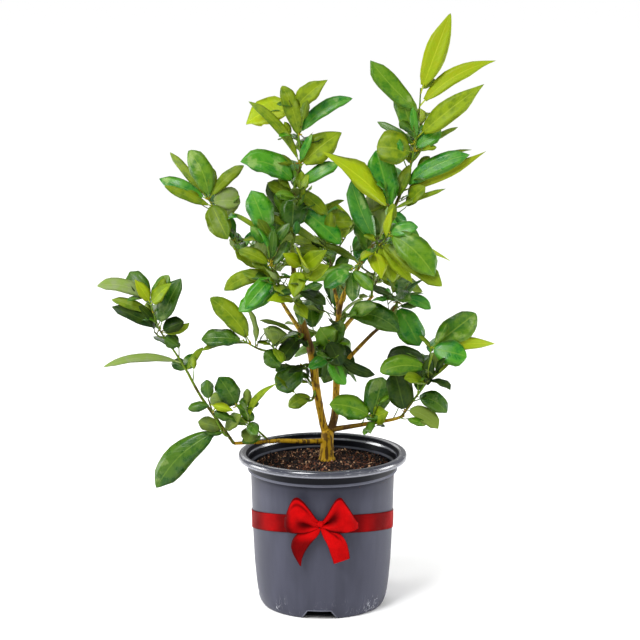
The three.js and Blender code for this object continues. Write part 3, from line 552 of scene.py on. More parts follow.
@dataclass(frozen=True)
class PotWall:
    """Moulded slate plastic: a satin body with crinkles round its foot, painted shadow below a ring with a
    painted highlight, a collar darkened as painted shade under the lip, and a lip with painted highlights and
    scuffs.

    Heights are in metres, as the finish reads them.
    """

    name: str
    colour: Triple
    rim: Triple
    roughness: float
    gloss: float = 0.12
    shadow: Triple = (22, 23, 34)
    ring_highlight: Triple = (112, 114, 126)
    collar_shade: Triple = (11, 12, 20)
    gleam: Triple = (150, 152, 164)
    crease: Triple = (24, 25, 38)
    stretch_mark: Triple = (200, 202, 210)
    scuff_and_highlight: Triple = (214, 216, 222)
    crinkle_low: float = 0.006
    crinkle_top: float = 0.034
    ring: float = 0.187
    collar: float = 0.1914
    lip: float = 0.203

    def make(self) -> Material:
        """Makes the finish.

        Returns:
            The material.
        """
        shader = Shader(self.name, self.roughness, Specular_IOR_Level=self.gloss)
        place = shader.place()
        x, _, z = shader.parts(place)
        flow = shader.noise(shader.stretched(place, (38.0, 38.0, 7.0)), 1.0, 3.0, 0.55)
        below = shader.step(z, self.ring, self.ring - 0.0006)
        on_ring = shader.step(z, self.ring - 0.0004, self.ring + 0.0004)
        on_ring = on_ring * shader.step(z, self.collar, self.collar - 0.0008)
        strip = shader.noise(shader.stretched(place, (150.0, 150.0, 17.0)), 1.0, 2.0, 0.5)
        where = shader.noise(shader.stretched(place, (40.0, 40.0, 22.0)), 1.0, 1.0)
        low = shader.step(z, self.crinkle_top, self.crinkle_low) * shader.step(where, 0.48, 0.6)
        low = low * shader.step(abs(x), 0.02, 0.06, 0.15, 1.0)
        pale_lines = shader.band(strip, 0.53, 0.012, 0.003) * low
        crease_shade_lines = shader.band(strip, 0.56, 0.018, 0.006) * low
        streak_noise = shader.noise(shader.stretched(place, (70.0, 70.0, 1300.0)), 1.0, 4.0, 0.7)
        scuffs_and_highlights = shader.step(streak_noise, 0.6, 0.68) * shader.step(z, self.lip, self.lip + 0.004)
        colour = shader.coats(
            shader.mix(lit(self.colour, 0.88), lit(self.colour, 1.14), shader.step(flow, 0.32, 0.68)),
            (self.shadow, shader.step(z, self.ring - 0.03, self.ring) * below * 0.4),
            (self.shadow, shader.step(z, self.ring - 0.007, self.ring - 0.001) * below * 0.7),
            # Painted highlight on the ring, where its lower edge catches the light.
            (self.ring_highlight, on_ring * 0.55),
            # Painted shade: the collar under the lip is darkened.
            (self.collar_shade, shader.step(z, self.collar - 0.0006, self.collar + 0.0006)),
            (self.rim, shader.step(z, self.lip - 0.0005, self.lip + 0.0005)),
            (self.gleam, shader.band(z, self.lip + 0.0016, 0.0012, 0.00036) * 0.5),
            (self.stretch_mark, pale_lines * 0.7),
            # Painted shade: dark lines in the creases of the crinkles.
            (self.crease, crease_shade_lines * 0.7),
            # Pale streaks along the lip: scuffs, and painted highlight streaks.
            (self.scuff_and_highlight, scuffs_and_highlights * 0.5))
        grain = shader.noise(place, 2400.0, 2.0, 0.6)
        relief = grain * 0.12 + pale_lines * 0.7
        rough = shader.step(flow, 0.3, 0.7, self.roughness - 0.03, self.roughness + 0.05)
        return shader.feed(Base_Color=colour, Roughness=rough, Normal=shader.bump(relief, 0.5, 0.0008))


@dataclass(frozen=True)
class PotInside:
    """The inside of the pot: near-black, glossy, with a painted highlight in grey on the step where the wall
    steps in.
    """

    name: str
    colour: Triple = (5, 6, 11)
    ledge_highlight: Triple = (84, 86, 97)
    ledge_at: float = 0.1948
    ledge_half: float = 0.0014

    def make(self) -> Material:
        """Makes the finish.

        Returns:
            The material.
        """
        shader = Shader(self.name, 0.4, Specular_IOR_Level=0.05)
        place = shader.place()
        _, _, z = shader.parts(place)
        cloud = shader.noise(place, 30.0, 3.0, 0.5)
        on_ledge = shader.band(z, self.ledge_at, self.ledge_half, self.ledge_half * 0.5)
        paler = tuple(c * 1.9 for c in self.colour)
        colour = shader.mix(self.colour, paler, shader.step(cloud, 0.35, 0.7))
        # Painted highlight: a grey band along the step in the wall.
        colour = shader.mix(colour, self.ledge_highlight, on_ledge * shader.step(cloud, 0.2, 0.55) * 0.75)
        rough = shader.step(cloud, 0.3, 0.7, 0.36, 0.48)
        grain = shader.noise(place, 1800.0, 2.0, 0.6)
        return shader.feed(Base_Color=colour, Roughness=rough, Normal=shader.bump(grain, 0.3, 0.0003))


@dataclass(frozen=True)
class Soil:
    """Potting mix: near-black crumbs with brown and straw-coloured ones among them."""

    name: str
    dark: Triple = (12, 8, 8)
    brown: Triple = (98, 60, 42)
    straw: Triple = (208, 172, 138)

    def make(self) -> Material:
        """Makes the finish; the piece's mark deals out dark, brown and straw, and painted shade darkens low
        spots between crumbs and patches standing for hollows.

        Returns:
            The material.
        """
        shader = Shader(self.name, 0.85, Specular_IOR_Level=0.25)
        place, mark = shader.place(), shader.mark()
        crumbs = shader.noise(place, 620.0, 3.0, 0.7)
        hollow_shade = shader.noise(place, 130.0, 3.0, 0.6)
        colour = shader.coats(
            shader.mix(self.dark, self.brown, shader.step(mark + crumbs * 0.4, 0.62, 1.0)),
            (self.straw, shader.step(mark, 0.84, 0.96) * 0.95),
            # Painted shade: darker in the low spots between crumbs.
            (self.dark, shader.step(crumbs, 0.45, 0.3) * 0.8),
            # Painted shade: dark patches standing for hollows in the soil.
            (self.dark, shader.step(hollow_shade, 0.53, 0.4) * 0.85))
        return shader.feed(Base_Color=colour, Normal=shader.bump(crumbs, 0.9, 0.0012))


@dataclass(frozen=True)
class Satin:
    """Red satin ribbon: a fine weave, a woven edge, and painted shade in deeper red where the mark says so.
    """

    name: str
    colour: Triple
    depth: Triple

    def make(self) -> Material:
        """Makes the finish; u runs along the ribbon and v across it.

        Returns:
            The material.
        """
        shader = Shader(self.name, 0.46, Specular_IOR_Level=0.015)
        _, v, _ = shader.parts(shader.lay())
        threads = shader.math("SINE", v * (60 * tau))
        soft = shader.noise(shader.place(), 70.0, 2.0, 0.5)
        edge = shader.step(abs(v - 0.5) * 2.0, 0.93, 0.97)
        colour = shader.mix(self.colour, self.depth, shader.step(soft, 0.3, 0.8) * 0.3)
        colour = shader.coats(colour, (self.depth, edge * 0.6),
                              # Painted shade: deeper red where the mark says so.
                              (self.depth, shader.step(shader.mark(), 0.0, 1.0) * 0.9))
        relief = threads * 0.2 + edge * 0.8
        rough = shader.step(soft, 0.3, 0.7, 0.42, 0.52)
        return shader.feed(Base_Color=colour, Roughness=rough, Normal=shader.bump(relief, 0.35, 0.0003))


class Hue(Enum):
    """The plain leaf colours, each with the letter that deals it out."""

    LIME = ("l", Tint("lime", (144, 158, 2), (122, 142, 2), (174, 184, 34), 0.46))
    SPRING = ("s", Tint("spring", (99, 125, 5), (112, 133, 5), (150, 166, 36), 0.44))
    OLIVE = ("o", Tint("olive", (82, 113, 6), (100, 120, 6), (138, 156, 36), sheen_share=0.16))
    MEADOW = ("m", Tint("meadow", (50, 103, 8), (76, 112, 6), (122, 150, 42), 0.35, gloss=0.24, sheen_share=0.34))
    VIVID = ("v", Tint("vivid", (26, 111, 22), (60, 121, 12), (112, 152, 46), 0.31, gloss=0.32, sheen_share=0.4))
    DEEP = ("d", Tint("deep", (31, 78, 10), (55, 88, 7), (98, 128, 36), 0.29, gloss=0.28, sheen_share=0.24))
    SHADE = ("n", Tint("shade", (19, 48, 7), (38, 57, 5), (72, 98, 30), 0.36, gloss=0.14))
    BACK = ("b", Tint("back", (122, 138, 86), (106, 128, 54), (146, 162, 94), 0.62, 0.1))
    DULL = ("g", Tint("dull_back", (82, 104, 44), (92, 110, 36), (118, 138, 64), 0.62, 0.1))


LETTERS = [hue.value[0] for hue in Hue]
UNDER_PALE, UNDER_DULL = LETTERS.index("b"), LETTERS.index("g")


# Wood: routes, and the plan of limbs that the solids share


class Dice:
    """A small generator of even random numbers, the same one that the solids' source uses."""

    PRIME = 2147483647
    FACTOR = 48271

    def __init__(self, seed: int) -> None:
        """Starts the sequence of a seed."""
        self.state = (seed * 7919 + 17) % self.PRIME

    def roll(self) -> float:
        """Gives the next number from 0 to 1."""
        self.state = (self.state * self.FACTOR) % self.PRIME
        return self.state / self.PRIME

    def within(self, spread: float) -> float:
        """Gives the next number between minus and plus a spread."""
        return (2 * self.roll() - 1) * spread


class Route:
    """A smooth curve through given points, cut into equal steps of its length."""

    FINE = 200

    def __init__(self, points: list[Triple]) -> None:
        """Runs a centripetal curve through the points.

        Args:
            points: the points, ends included.
        """
        self.knots = [np.array(p, dtype=float) for p in points]
        fine = np.array([self._at(i / self.FINE) for i in range(self.FINE + 1)])
        gaps = np.linalg.norm(np.diff(fine, axis=0), axis=1)
        self.reached = np.concatenate([[0.0], np.cumsum(gaps)])
        self.length = float(self.reached[-1])

    def _at(self, t: float) -> np.ndarray:
        """Gives the curve's point.

        Args:
            t: from 0 at the first given point to 1 at the last, each span taking an equal share.

        Returns:
            The point.
        """
        last = len(self.knots) - 1
        place = last * t
        index = min(int(place), last - 1)
        weight = place - index
        p1, p2 = self.knots[index], self.knots[index + 1]
        p0 = self.knots[index - 1] if index > 0 else 2 * self.knots[0] - self.knots[1]
        p3 = self.knots[index + 2] if index + 2 <= last else 2 * self.knots[last] - self.knots[last - 1]
        d0, d1, d2 = [max(np.dot(b - a, b - a), 0.0) ** 0.25 for a, b in ((p0, p1), (p1, p2), (p2, p3))]
        d1 = d1 if d1 > 1e-4 else 1.0
        d0 = d0 if d0 > 1e-4 else d1
        d2 = d2 if d2 > 1e-4 else d1
        t1 = ((p1 - p0) / d0 - (p2 - p0) / (d0 + d1) + (p2 - p1) / d1) * d1
        t2 = ((p2 - p1) / d1 - (p3 - p1) / (d1 + d2) + (p3 - p2) / d2) * d1
        c2 = -3 * p1 + 3 * p2 - 2 * t1 - t2
        c3 = 2 * p1 - 2 * p2 + t1 + t2
        return p1 + t1 * weight + c2 * weight**2 + c3 * weight**3

    def point(self, share: float) -> Vector:
        """Gives the point at a share of the length."""
        t = float(np.interp(share * self.length, self.reached, np.arange(self.FINE + 1) / self.FINE))
        return Vector(self._at(t))

    def spaced(self, steps: int) -> list[Vector]:
        """Gives points at equal steps of the length."""
        return [self.point(i / steps) for i in range(steps + 1)]


class Wood:
    """Straight pieces along a route, as the faceted solids have them."""

    STEP = 30
    REACH = 0.97

    def __init__(self, points: list[Triple], steps: int | None = None) -> None:
        """Cuts the route through some points into steps.

        Args:
            points: the points.
            steps: how many steps, or nothing where its length decides.
        """
        self.route = Route(points)
        self.steps = steps or max(2, int(self.route.length / self.STEP + 0.5))
        self.points = self.route.spaced(self.steps)

    def span(self, place: float) -> tuple[Vector, Vector, float]:
        """Gives the straight piece at a place.

        Args:
            place: from 0 to 1.

        Returns:
            Its two ends, and the share of it that is passed.
        """
        at = min(max(place, 0.0), self.REACH) * self.steps
        i = min(int(at), self.steps - 1)
        return self.points[i], self.points[i + 1], at - i

    def point(self, place: float) -> Vector:
        """Gives the point at a place."""
        first, second, share = self.span(place)
        return first.lerp(second, share)

    def heading(self, place: float) -> Vector:
        """Gives the direction at a place."""
        first, second, _ = self.span(place)
        return (second - first).normalized()


@dataclass(frozen=True)
class Limb:
    """One limb: its route, its radii and its bark from -1, brown, to 1, green, both as pairs by fraction."""

    route: tuple[Triple, ...]
    radii: Pairs
    bark: Pairs
    steps: int | None = None


LIMBS = {
    "trunk": Limb(
        ((6, 15, 196.3), (6, 15, 206), (6.4, 15, 222), (7, 15, 237)),
        ((0, 11.2), (0.14, 9.6), (0.4, 8.9), (1, 8.5)), ((0, 0.1), (1, 0.0)), 7),
    "bough_left": Limb(
        ((5, 15, 232), (-1, 12, 256), (-8, 5, 296), (-16, 0, 353), (-26, -4, 388), (-36, -2, 436),
         (-41, 0, 490)),
        ((0, 5.6), (0.15, 4.9), (0.35, 5.9), (1, 2.8)),
        ((0, 0.0), (0.2, -0.25), (0.34, 0.25), (0.42, -0.1), (0.5, -0.8), (0.68, -0.4), (0.8, 0.6),
         (1, 0.8))),
    "bough_right": Limb(
        ((9, 15, 232), (16, 18, 254), (19, 22, 300), (20, 20, 377), (25, 16, 415), (36, 12, 443)),
        ((0, 5.8), (0.2, 4.9), (0.4, 5.1), (1, 3)),
        ((0, -0.8), (0.16, -0.6), (0.3, -0.1), (0.5, -0.3), (0.7, 0.0), (1, 0.4))),
    "bough_right_upper": Limb(
        ((36, 12, 443), (58, 8, 482), (84, 4, 522), (103, 0, 563)),
        ((0, 3), (1, 2.1)), ((0, 0.5), (1, 0.8))),
    "bough_diagonal": Limb(
        ((20, 21, 321), (46, 24, 348), (66, 24, 369), (85, 20, 388), (101, 18, 413)),
        ((0, 3.1), (1, 1.9)), ((0, 0.1), (0.3, -0.2), (0.55, -0.9), (1, -0.6))),
    "bough_low_right": Limb(
        ((12, 14, 239), (35, 5, 245), (64, -8, 253), (98, -16, 261), (110, -18, 266)),
        ((0, 3.8), (1, 2)), ((0, -0.7), (0.4, -0.5), (1, 0.5))),
    "bough_low_left": Limb(
        ((1, 14, 223), (-24, 4, 225), (-58, -14, 230), (-91, -26, 231), (-119, -32, 231)),
        ((0, 3.4), (1, 2.3)), ((0, 0.15), (1, 0.0))),
    "bough_low_left_rise": Limb(
        ((-120, -32, 231), (-135, -34, 254), (-165, -32, 298), (-182, -30, 330)),
        ((0, 2.3), (1, 1.7)), ((0, 0.9),)),
    "bough_back_left": Limb(
        ((-17, 0, 358), (-36, 42, 380), (-56, 82, 404), (-68, 106, 424)), ((0, 3.6), (1, 2)), ((0, 0.3),)),
    "bough_back_right": Limb(
        ((20, 20, 364), (34, 56, 378), (54, 88, 394), (70, 108, 408)), ((0, 3.6), (1, 2)), ((0, 0.3),)),
    "bough_back": Limb(
        ((23, 17, 396), (18, 50, 420), (10, 78, 446)), ((0, 3), (1, 1.9)), ((0, 0.3),)),
}
LINES = {name: Wood(list(limb.route), limb.steps) for name, limb in LIMBS.items()}
LIMB_POINTS = np.array([(*LINES[name].route.point(i / 60), along(limb.radii, i / 60))
                        for name, limb in LIMBS.items() for i in range(61)])


@dataclass(frozen=True)
class Mass:
    """One mass of foliage: its stem from a limb, the letters of its leaf colours, and its leaves in rows.

    A row is place along the twig in percent, clock hour as seen from the front, length, width in percent of
    the length, lean back in degrees, sideways bend in percent of the length, and roll in degrees if it is not
    left to chance. The letters go to the rows in their order, and the other leaves draw from them.
    """

    limb: str
    at: float
    stem: tuple[Triple, ...]
    tints: str
    leaves: tuple[tuple, ...] = ()
    shoots: int = 1
    reach: float = 30
    leaf_count: int = 3
    leaf_length: float = 44


MASSES = {
    "leaves_low_left_outer": Mass(
        "bough_low_left_rise", 1, ((-198, -32, 357), (-219, -34, 390), (-231, -36, 430)),
        "ddobnodndobmsdldmd",
        ((4, 10.17, 24, 75, 0, 0, -23), (4, 0.78, 25, 71, 0, 0, 17), (4, 1.14, 40, 24, 0, 0, 21),
         (15, 8.94, 105, 12, 0, 7, -27), (59, 2.21, 33, 63, 0, 0, 27), (57, 2.35, 39, 25, -15, 12, 30),
         (53, 4.21, 24, 86, 0, 0, 23), (61, 9.89, 72, 25, 0, 0, -25), (67, 0.87, 71, 39, 0, 0, 19),
         (82, 9.62, 59, 24, 0, 0, -26), (96, 9.57, 74, 26, 0, 12, -27), (97, 1.23, 43, 42, 15, 0, 20),
         (93, 1.41, 47, 42, -15, 0, 31), (97, 10.76, 50, 54, 20, 0, -14), (95, 10.95, 38, 40, -15, 0, -24),
         (35, 9.5, 58, 44, 62), (70, 11, 62, 44, 66), (90, 2, 50, 44, 68))),
    "leaves_low_left_rise": Mass(
        "bough_low_left_rise", 0.1, ((-132, -46, 247), (-146, -50, 276), (-153, -50, 297)), "ddldggd",
        ((28, 7.6, 121, 30, 0, 8, -24), (87, 8.64, 31, 45, 0, 0, -26), (87, 3.39, 32, 35, -20, 0, 24),
         (74, 3.82, 25, 55, -5, 0, 24), (28, 9.63, 35, 56, -20, 0, -28), (20, 1.31, 41, 45, -25, 0, 34),
         (97, 11.87, 29, 61, 0, 0, -1)), 0),
    "leaves_low_left_inner": Mass(
        "bough_low_left", 0.62, ((-92, -30, 253), (-106, -34, 270), (-116, -36, 285)), "gsdddg",
        ((45, 6.85, 24, 96, -20, 0, -12), (62, 1.13, 75, 13, -20, -10, 30), (96, 4.34, 29, 52, 0, 0, 22),
         (94, 1.78, 23, 60, 10, 0, 22), (97, 10.99, 48, 65, 0, 0, -17), (97, 9.38, 41, 51, 25, 0, -25))),
    "leaves_left_mid": Mass(
        "bough_left", 0.57, ((-51, -22, 357), (-81, -34, 360), (-107, -42, 375)), "nobddnodod",
        ((12, 7.55, 53, 44, -45, 0, -13), (10, 9.7, 61, 16, 20), (24, 9.71, 47, 44, 25, 0, -24),
         (52, 1.6, 51, 35, -30), (68, 4.48, 32, 81, -15, 0, 19), (78, 1.3, 36, 50, 30), (87, 8.8, 68, 20),
         (98, 9.1, 58, 50, 10), (88, 10.64, 82, 34, 0, 6, -21), (80, 11.5, 56, 44, 60))),
    "leaves_fork_left": Mass(
        "bough_left", 0.27, ((-14, -4, 285), (-21, -10, 284)), "o",
        ((57, 8.21, 37, 53, 0, 8, -25),), 0),
    "leaves_centre_low": Mass(
        "bough_right", 0.54, ((15, -12, 353), (7, -30, 373)), "ndvdnm",
        ((51, 4.02, 66, 23, 10, 10, 28), (53, 4.85, 58, 9, 0, 0, 20), (53, 5.27, 48, 40, -25, 14, 10),
         (64, 0.62, 40, 58, 0, 0, 12), (97, 5.11, 38, 75, -5, 0, 15), (66, 11.01, 37, 90, -15, 0, -25))),
    "leaves_centre_left": Mass(
        "bough_left", 0.8, ((-51, -40, 440), (-67, -60, 475), (-72, -62, 505)), "ovooddvv",
        ((32, 8.2, 54, 20, 10), (42, 8.1, 67, 42, -15), (62, 8.43, 73, 29, 5, 12, -29),
         (77, 9.8, 48, 50, 10), (80, 0.2, 46, 35), (75, 1, 44, 50, 10), (95, 11.1, 34, 30, 20),
         (64, 7.48, 62, 44, -35, 0, -18))),
    "leaves_centre_front": Mass(
        "bough_left", 0.76, ((-35, -60, 434), (-30, -90, 464), (-27, -96, 489)), "dssslndl",
        ((37, 5.6, 36, 40, -20), (91, 6.55, 43, 50, -35, 0, -7), (81, 2.11, 44, 48, -20, 0, 32),
         (91, 1.64, 48, 45, -25, 0, 35), (95, 11.63, 42, 96, -35, 0, -47), (60, 3.7, 45, 50, -30),
         (35, 2, 40, 50, -10), (95, 10.31, 34, 50, -20, 0, -32))),
    "leaves_upper_left": Mass(
        "bough_left", 0.86, ((-73, 0, 456), (-106, 2, 486), (-124, 2, 508), (-141, 0, 540), (-155, 0, 562)),
        "oobvvvobovoomvovd",
        ((30, 10.24, 41, 44, 0, 0, -25), (26, 9.6, 30, 40, 20), (33, 0.66, 50, 41, 0, 0, 15),
         (47, 1.02, 37, 26, 0, -12, 20), (59, 10.8, 46, 40), (60, 11.71, 34, 36, 8, 0, -4),
         (94, 5.07, 58, 54, -10, 0, 14), (94, 3, 40, 81, -5, -6, 30), (97, 1.54, 66, 25, 0, -6, 26),
         (97, 9.76, 73, 27, 0, 0, -28), (91, 9.83, 72, 18, -8, -4, -29), (97, 10.63, 87, 14, 15, 0, -18),
         (97, 11.26, 71, 42, 0, 8, -14), (50, 10.5, 58, 44, 66), (72, 0.5, 62, 44, 64),
         (90, 10.5, 54, 44, 68), (62, 5.2, 54, 42, 58))),
    "leaves_upper_left_inner": Mass(
        "bough_left", 0.93, ((-58, -22, 482), (-72, -26, 515)), "vood",
        ((95, 11.28, 66, 52, 0, 0, -14), (97, 10.04, 59, 12, 0, 0, -26), (78, 11.1, 42, 35, -20),
         (68, 1, 40, 40)), 0),
    "leaves_top_left": Mass(
        "bough_left", 1, ((-40, 2, 530), (-38, 4, 572), (-29, 2, 610), (-33, 0, 650), (-38, 0, 685)),
        "vondovdvsvoovlsdmvov",
        ((33, 4.29, 82, 34, -5, -5, 25), (38, 10.04, 41, 51, 0, 0, -27), (22, 10.89, 68, 40, 5, 4, -19),
         (41, 6.1, 47, 80, -20), (45, 4.29, 58, 33, -12, 0, 23), (44, 2, 69, 30), (44, 0.5, 28, 70, -10),
         (47, 9.77, 81, 43, 0, 14, -29), (58, 1.68, 74, 47, 0, -4, 27), (61, 0.76, 43, 25, 5, 0, 15),
         (61, 10.71, 107, 13, 0, 7, -23), (78, 11.41, 73, 32, 0, 4, -13), (80, 1.86, 87, 23, 0, -9, 28),
         (95, 8.45, 76, 48, -5, 10, -30), (97, 1.57, 59, 40, 0, -3, 27), (15, 10, 62, 44, 64),
         (30, 1.5, 62, 44, 60), (50, 11, 64, 44, 64), (68, 1.2, 60, 42, 66), (86, 11.4, 54, 40, 62)), 2),
    "leaves_top_mid": Mass(
        "bough_right", 0.93, ((17, 20, 451), (7, 24, 483), (-1, 26, 508), (-8, 26, 525)), "dondoom",
        ((31, 1.4, 30, 50), (62, 10.07, 113, 11, 0, 0, -27), (65, 9.79, 23, 55, -10, 0, -30),
         (51, 9.3, 40, 35), (97, 2.97, 49, 63, 10, 0, 29), (97, 1.64, 48, 17, 10, -12, 23),
         (70, 11, 56, 44, 60))),
    "leaves_top_right": Mass(
        "bough_right_upper", 1, ((115, 0, 595), (123, 0, 631), (128, 0, 675), (130, 0, 707)),
        "vlodvooodmvslmlvoml",
        ((10, 2.1, 100, 27, 0, -6, 28), (7, 2.15, 125, 12, -6, 4, 29), (12, 2.14, 112, 6, 12, -8, 26),
         (33, 0.8, 26, 30), (46, 1.8, 44, 54, 0, 0, 26), (44, 2.11, 73, 11, 0, 0, 28),
         (43, 9.34, 50, 93, -8, 0, -31), (34, 6.73, 49, 33, -10, 0, -12), (51, 9.97, 60, 19, 15, 0, -27),
         (53, 11.37, 70, 41, -5, 0, -17), (54, 11.8, 46, 24, 10, 0, -5), (56, 1.7, 115, 24, 0, 0, 26),
         (84, 1.99, 118, 17, 0, -7, 28), (79, 10.56, 94, 30, 0, -5, -26), (95, 0.69, 114, 24, 0, 0, 14),
         (12, 10.5, 62, 42, 62), (30, 0.5, 62, 42, 66), (45, 10.8, 62, 40, 66), (62, 0.4, 60, 36, 64)), 0),
    "leaves_right_crest": Mass(
        "bough_right_upper", 0.84, ((90, -12, 546), (87, -18, 553)), "lvvoov",
        ((68, 10.4, 125, 34, -15, -6), (27, 11.51, 83, 47, 5, 0, -11), (50, 0.2, 34, 20), (100, 8.3, 26, 40),
         (45, 2.28, 79, 9, 5, 0, 27), (45, 4.58, 31, 45, 15, 0, 31)), 0),
    "leaves_right_front": Mass(
        "bough_right_upper", 0.5, ((76, -40, 502), (88, -60, 523)), "vdommvblosol",
        ((96, 2.52, 40, 52, 0, 0, 28), (39, 3.65, 48, 52, -5, 0, 28), (47, 5.3, 57, 55, -20),
         (97, 4.4, 83, 48, -12, -6, 23), (100, 3.2, 44, 50), (39, 11.24, 94, 28, 0, -6, -16),
         (36, 11.8, 76, 36, -10), (85, 0.4, 42, 25), (56, 3.84, 73, 27, -25, 0, 25),
         (56, 4.64, 67, 33, -35, 0, 17), (73, 4.15, 99, 28, 10, 0, 30), (92, 3.82, 99, 7, 18, 0, 32))),
    "leaves_centre_right": Mass(
        "bough_right_upper", 0.22, ((47, -40, 475), (36, -70, 474)), "omvmd",
        ((7, 9.69, 68, 16, 4, 5, -27), (40, 8.3, 67, 30, -10), (100, 8, 45, 50, -20), (95, 4.4, 42, 40, -30),
         (100, 5.9, 42, 50, -30)), 0),
    "leaves_right_outer": Mass(
        "bough_diagonal", 1, ((104, 13, 424),), "vvnddvd",
        ((23, 5.01, 65, 55, -8, 0, 17), (86, 3.69, 47, 36, 0, -8, 28), (30, 10.2, 40, 40),
         (100, 1.9, 42, 12, 10), (100, 2.7, 34, 12), (40, 6.3, 38, 30, 30), (60, 1.5, 60, 44, 62))),
    "leaves_right_inner": Mass(
        "bough_right", 0.71, ((30, -2, 402), (36, -12, 405)), "dnm",
        ((55, 3.42, 81, 40, -12, -15, 27), (53, 2.9, 34, 16, 20), (80, 2.2, 46, 50, -20)), 0),
    "leaves_low_right_inner": Mass(
        "bough_low_right", 0.56, ((68, -22, 264), (66, -28, 270)), "mdsd",
        ((64, 9.66, 63, 55, -8, 8, -27), (64, 0.48, 57, 66, 5, 0, 8), (56, 2.05, 27, 89, -25, 0, 31),
         (40, 6.4, 24, 60, -50)), 0),
    "leaves_low_right": Mass(
        "bough_low_right", 1, ((123, -22, 289), (139, -26, 314), (144, -28, 339), (145, -28, 364)),
        "ngdomnnnvmloddv",
        ((7, 11.51, 58, 61, 5, 0, -10), (10, 4, 50, 44, 0, -10, 25), (31, 3.87, 47, 56, 0, -12, 26),
         (47, 1.5, 50, 15), (70, 8.95, 66, 42, -12, 10, -27), (79, 8.93, 69, 41, 20, 5, -28),
         (90, 6.2, 42, 50, -10), (93, 5.2, 36, 50, 30), (97, 3.37, 50, 72, -12, 0, 27),
         (97, 1.84, 80, 48, 0, 0, 24), (97, 2.97, 93, 18, 10, 0, 27), (100, 10.6, 24, 30),
         (35, 1, 58, 44, 62), (66, 10.5, 60, 44, 64), (88, 1.5, 58, 44, 66))),
    "leaves_back_left": Mass(
        "bough_back_left", 1, ((-68, 120, 452), (-66, 134, 476)), "dmvdo", (), 5, 56, 4, 64),
    "leaves_back_right": Mass(
        "bough_back_right", 1, ((72, 122, 432), (76, 138, 450)), "dmvdo", (), 5, 54, 4, 64),
    "leaves_back_top": Mass(
        "bough_back", 1, ((6, 92, 470), (-2, 106, 482)), "vmsod", (), 4, 50, 4, 60),
    "leaves_back_low": Mass(
        "bough_back_right", 0.35, ((28, 76, 364), (6, 96, 356)), "dmdn", (), 4, 46, 4, 58),
    "leaves_left_low": Mass(
        "bough_left", 0.38, ((-24, -6, 334), (-31, -10, 329)), "dn",
        ((73, 7.68, 47, 72, -10, 0, -27), (65, 5.61, 32, 60, 20, 0, 17)), 0),
}

# Openings through and beside the crown, as [x, z, radius] where their middles cross the plane y = 0
EYE_DISTANCE, EYE_HEIGHT = 2950, 954
OPENINGS = (
    (69, 691, 28), (46, 660, 24), (-77, 641, 16), (-106, 579, 16), (8, 576, 20), (-20, 521, 10),
    (-109, 519, 7), (35, 502, 8), (42, 468, 9), (-120, 427, 10), (-79, 410, 11), (-52, 402, 8),
    (-170, 409, 22), (145, 394, 12), (88, 369, 10), (64, 344, 13), (-149, 336, 20), (-107, 332, 23),
    (45, 293, 9), (97, 276, 9), (-67, 258, 23), (-23, 257, 16), (-165, 522, 30), (-140, 486, 18),
    (165, 530, 30), (-233, 362, 20), (-210, 290, 40),
)


@dataclass
class Leaf:
    """A leaf before its mesh is made: where it is rooted, how it points and how it is curved."""

    base: Vector
    way: Vector
    length: float
    share: float
    light: Vector
    roll: float
    bend: float
    arch: float
    up: Vector | None = None
    tint: str = "m"

    def leaned(self, angle: float) -> "Leaf":
        """Leans the leaf towards the back.

        Args:
            angle: how far, in radians.

        Returns:
            The leaned leaf, its upper side turned to the light again.
        """
        way = self.way.copy()
        way.y += sin(angle)
        way.normalize()
        up = (self.light - way * self.light.dot(way)).normalized()
        return replace(self, way=way, up=Matrix.Rotation(self.roll, 3, way) @ up)

    def centre(self, s: float) -> Vector:
        """Gives a point of the middle line.

        Args:
            s: the share of the length.

        Returns:
            The point.
        """
        bow = 4 * s * (1 - s) * self.length
        side = self.way.cross(self.up)
        middle = self.base + self.way * (s * self.length)
        return middle + self.up * (self.arch * bow) + side * (self.bend * bow)


@dataclass
class Spray:
    """What one mass grows: its twigs as (wood, first radius, last radius, green) and its leaves."""

    name: str
    twigs: list = field(default_factory=list)
    leaves: list = field(default_factory=list)


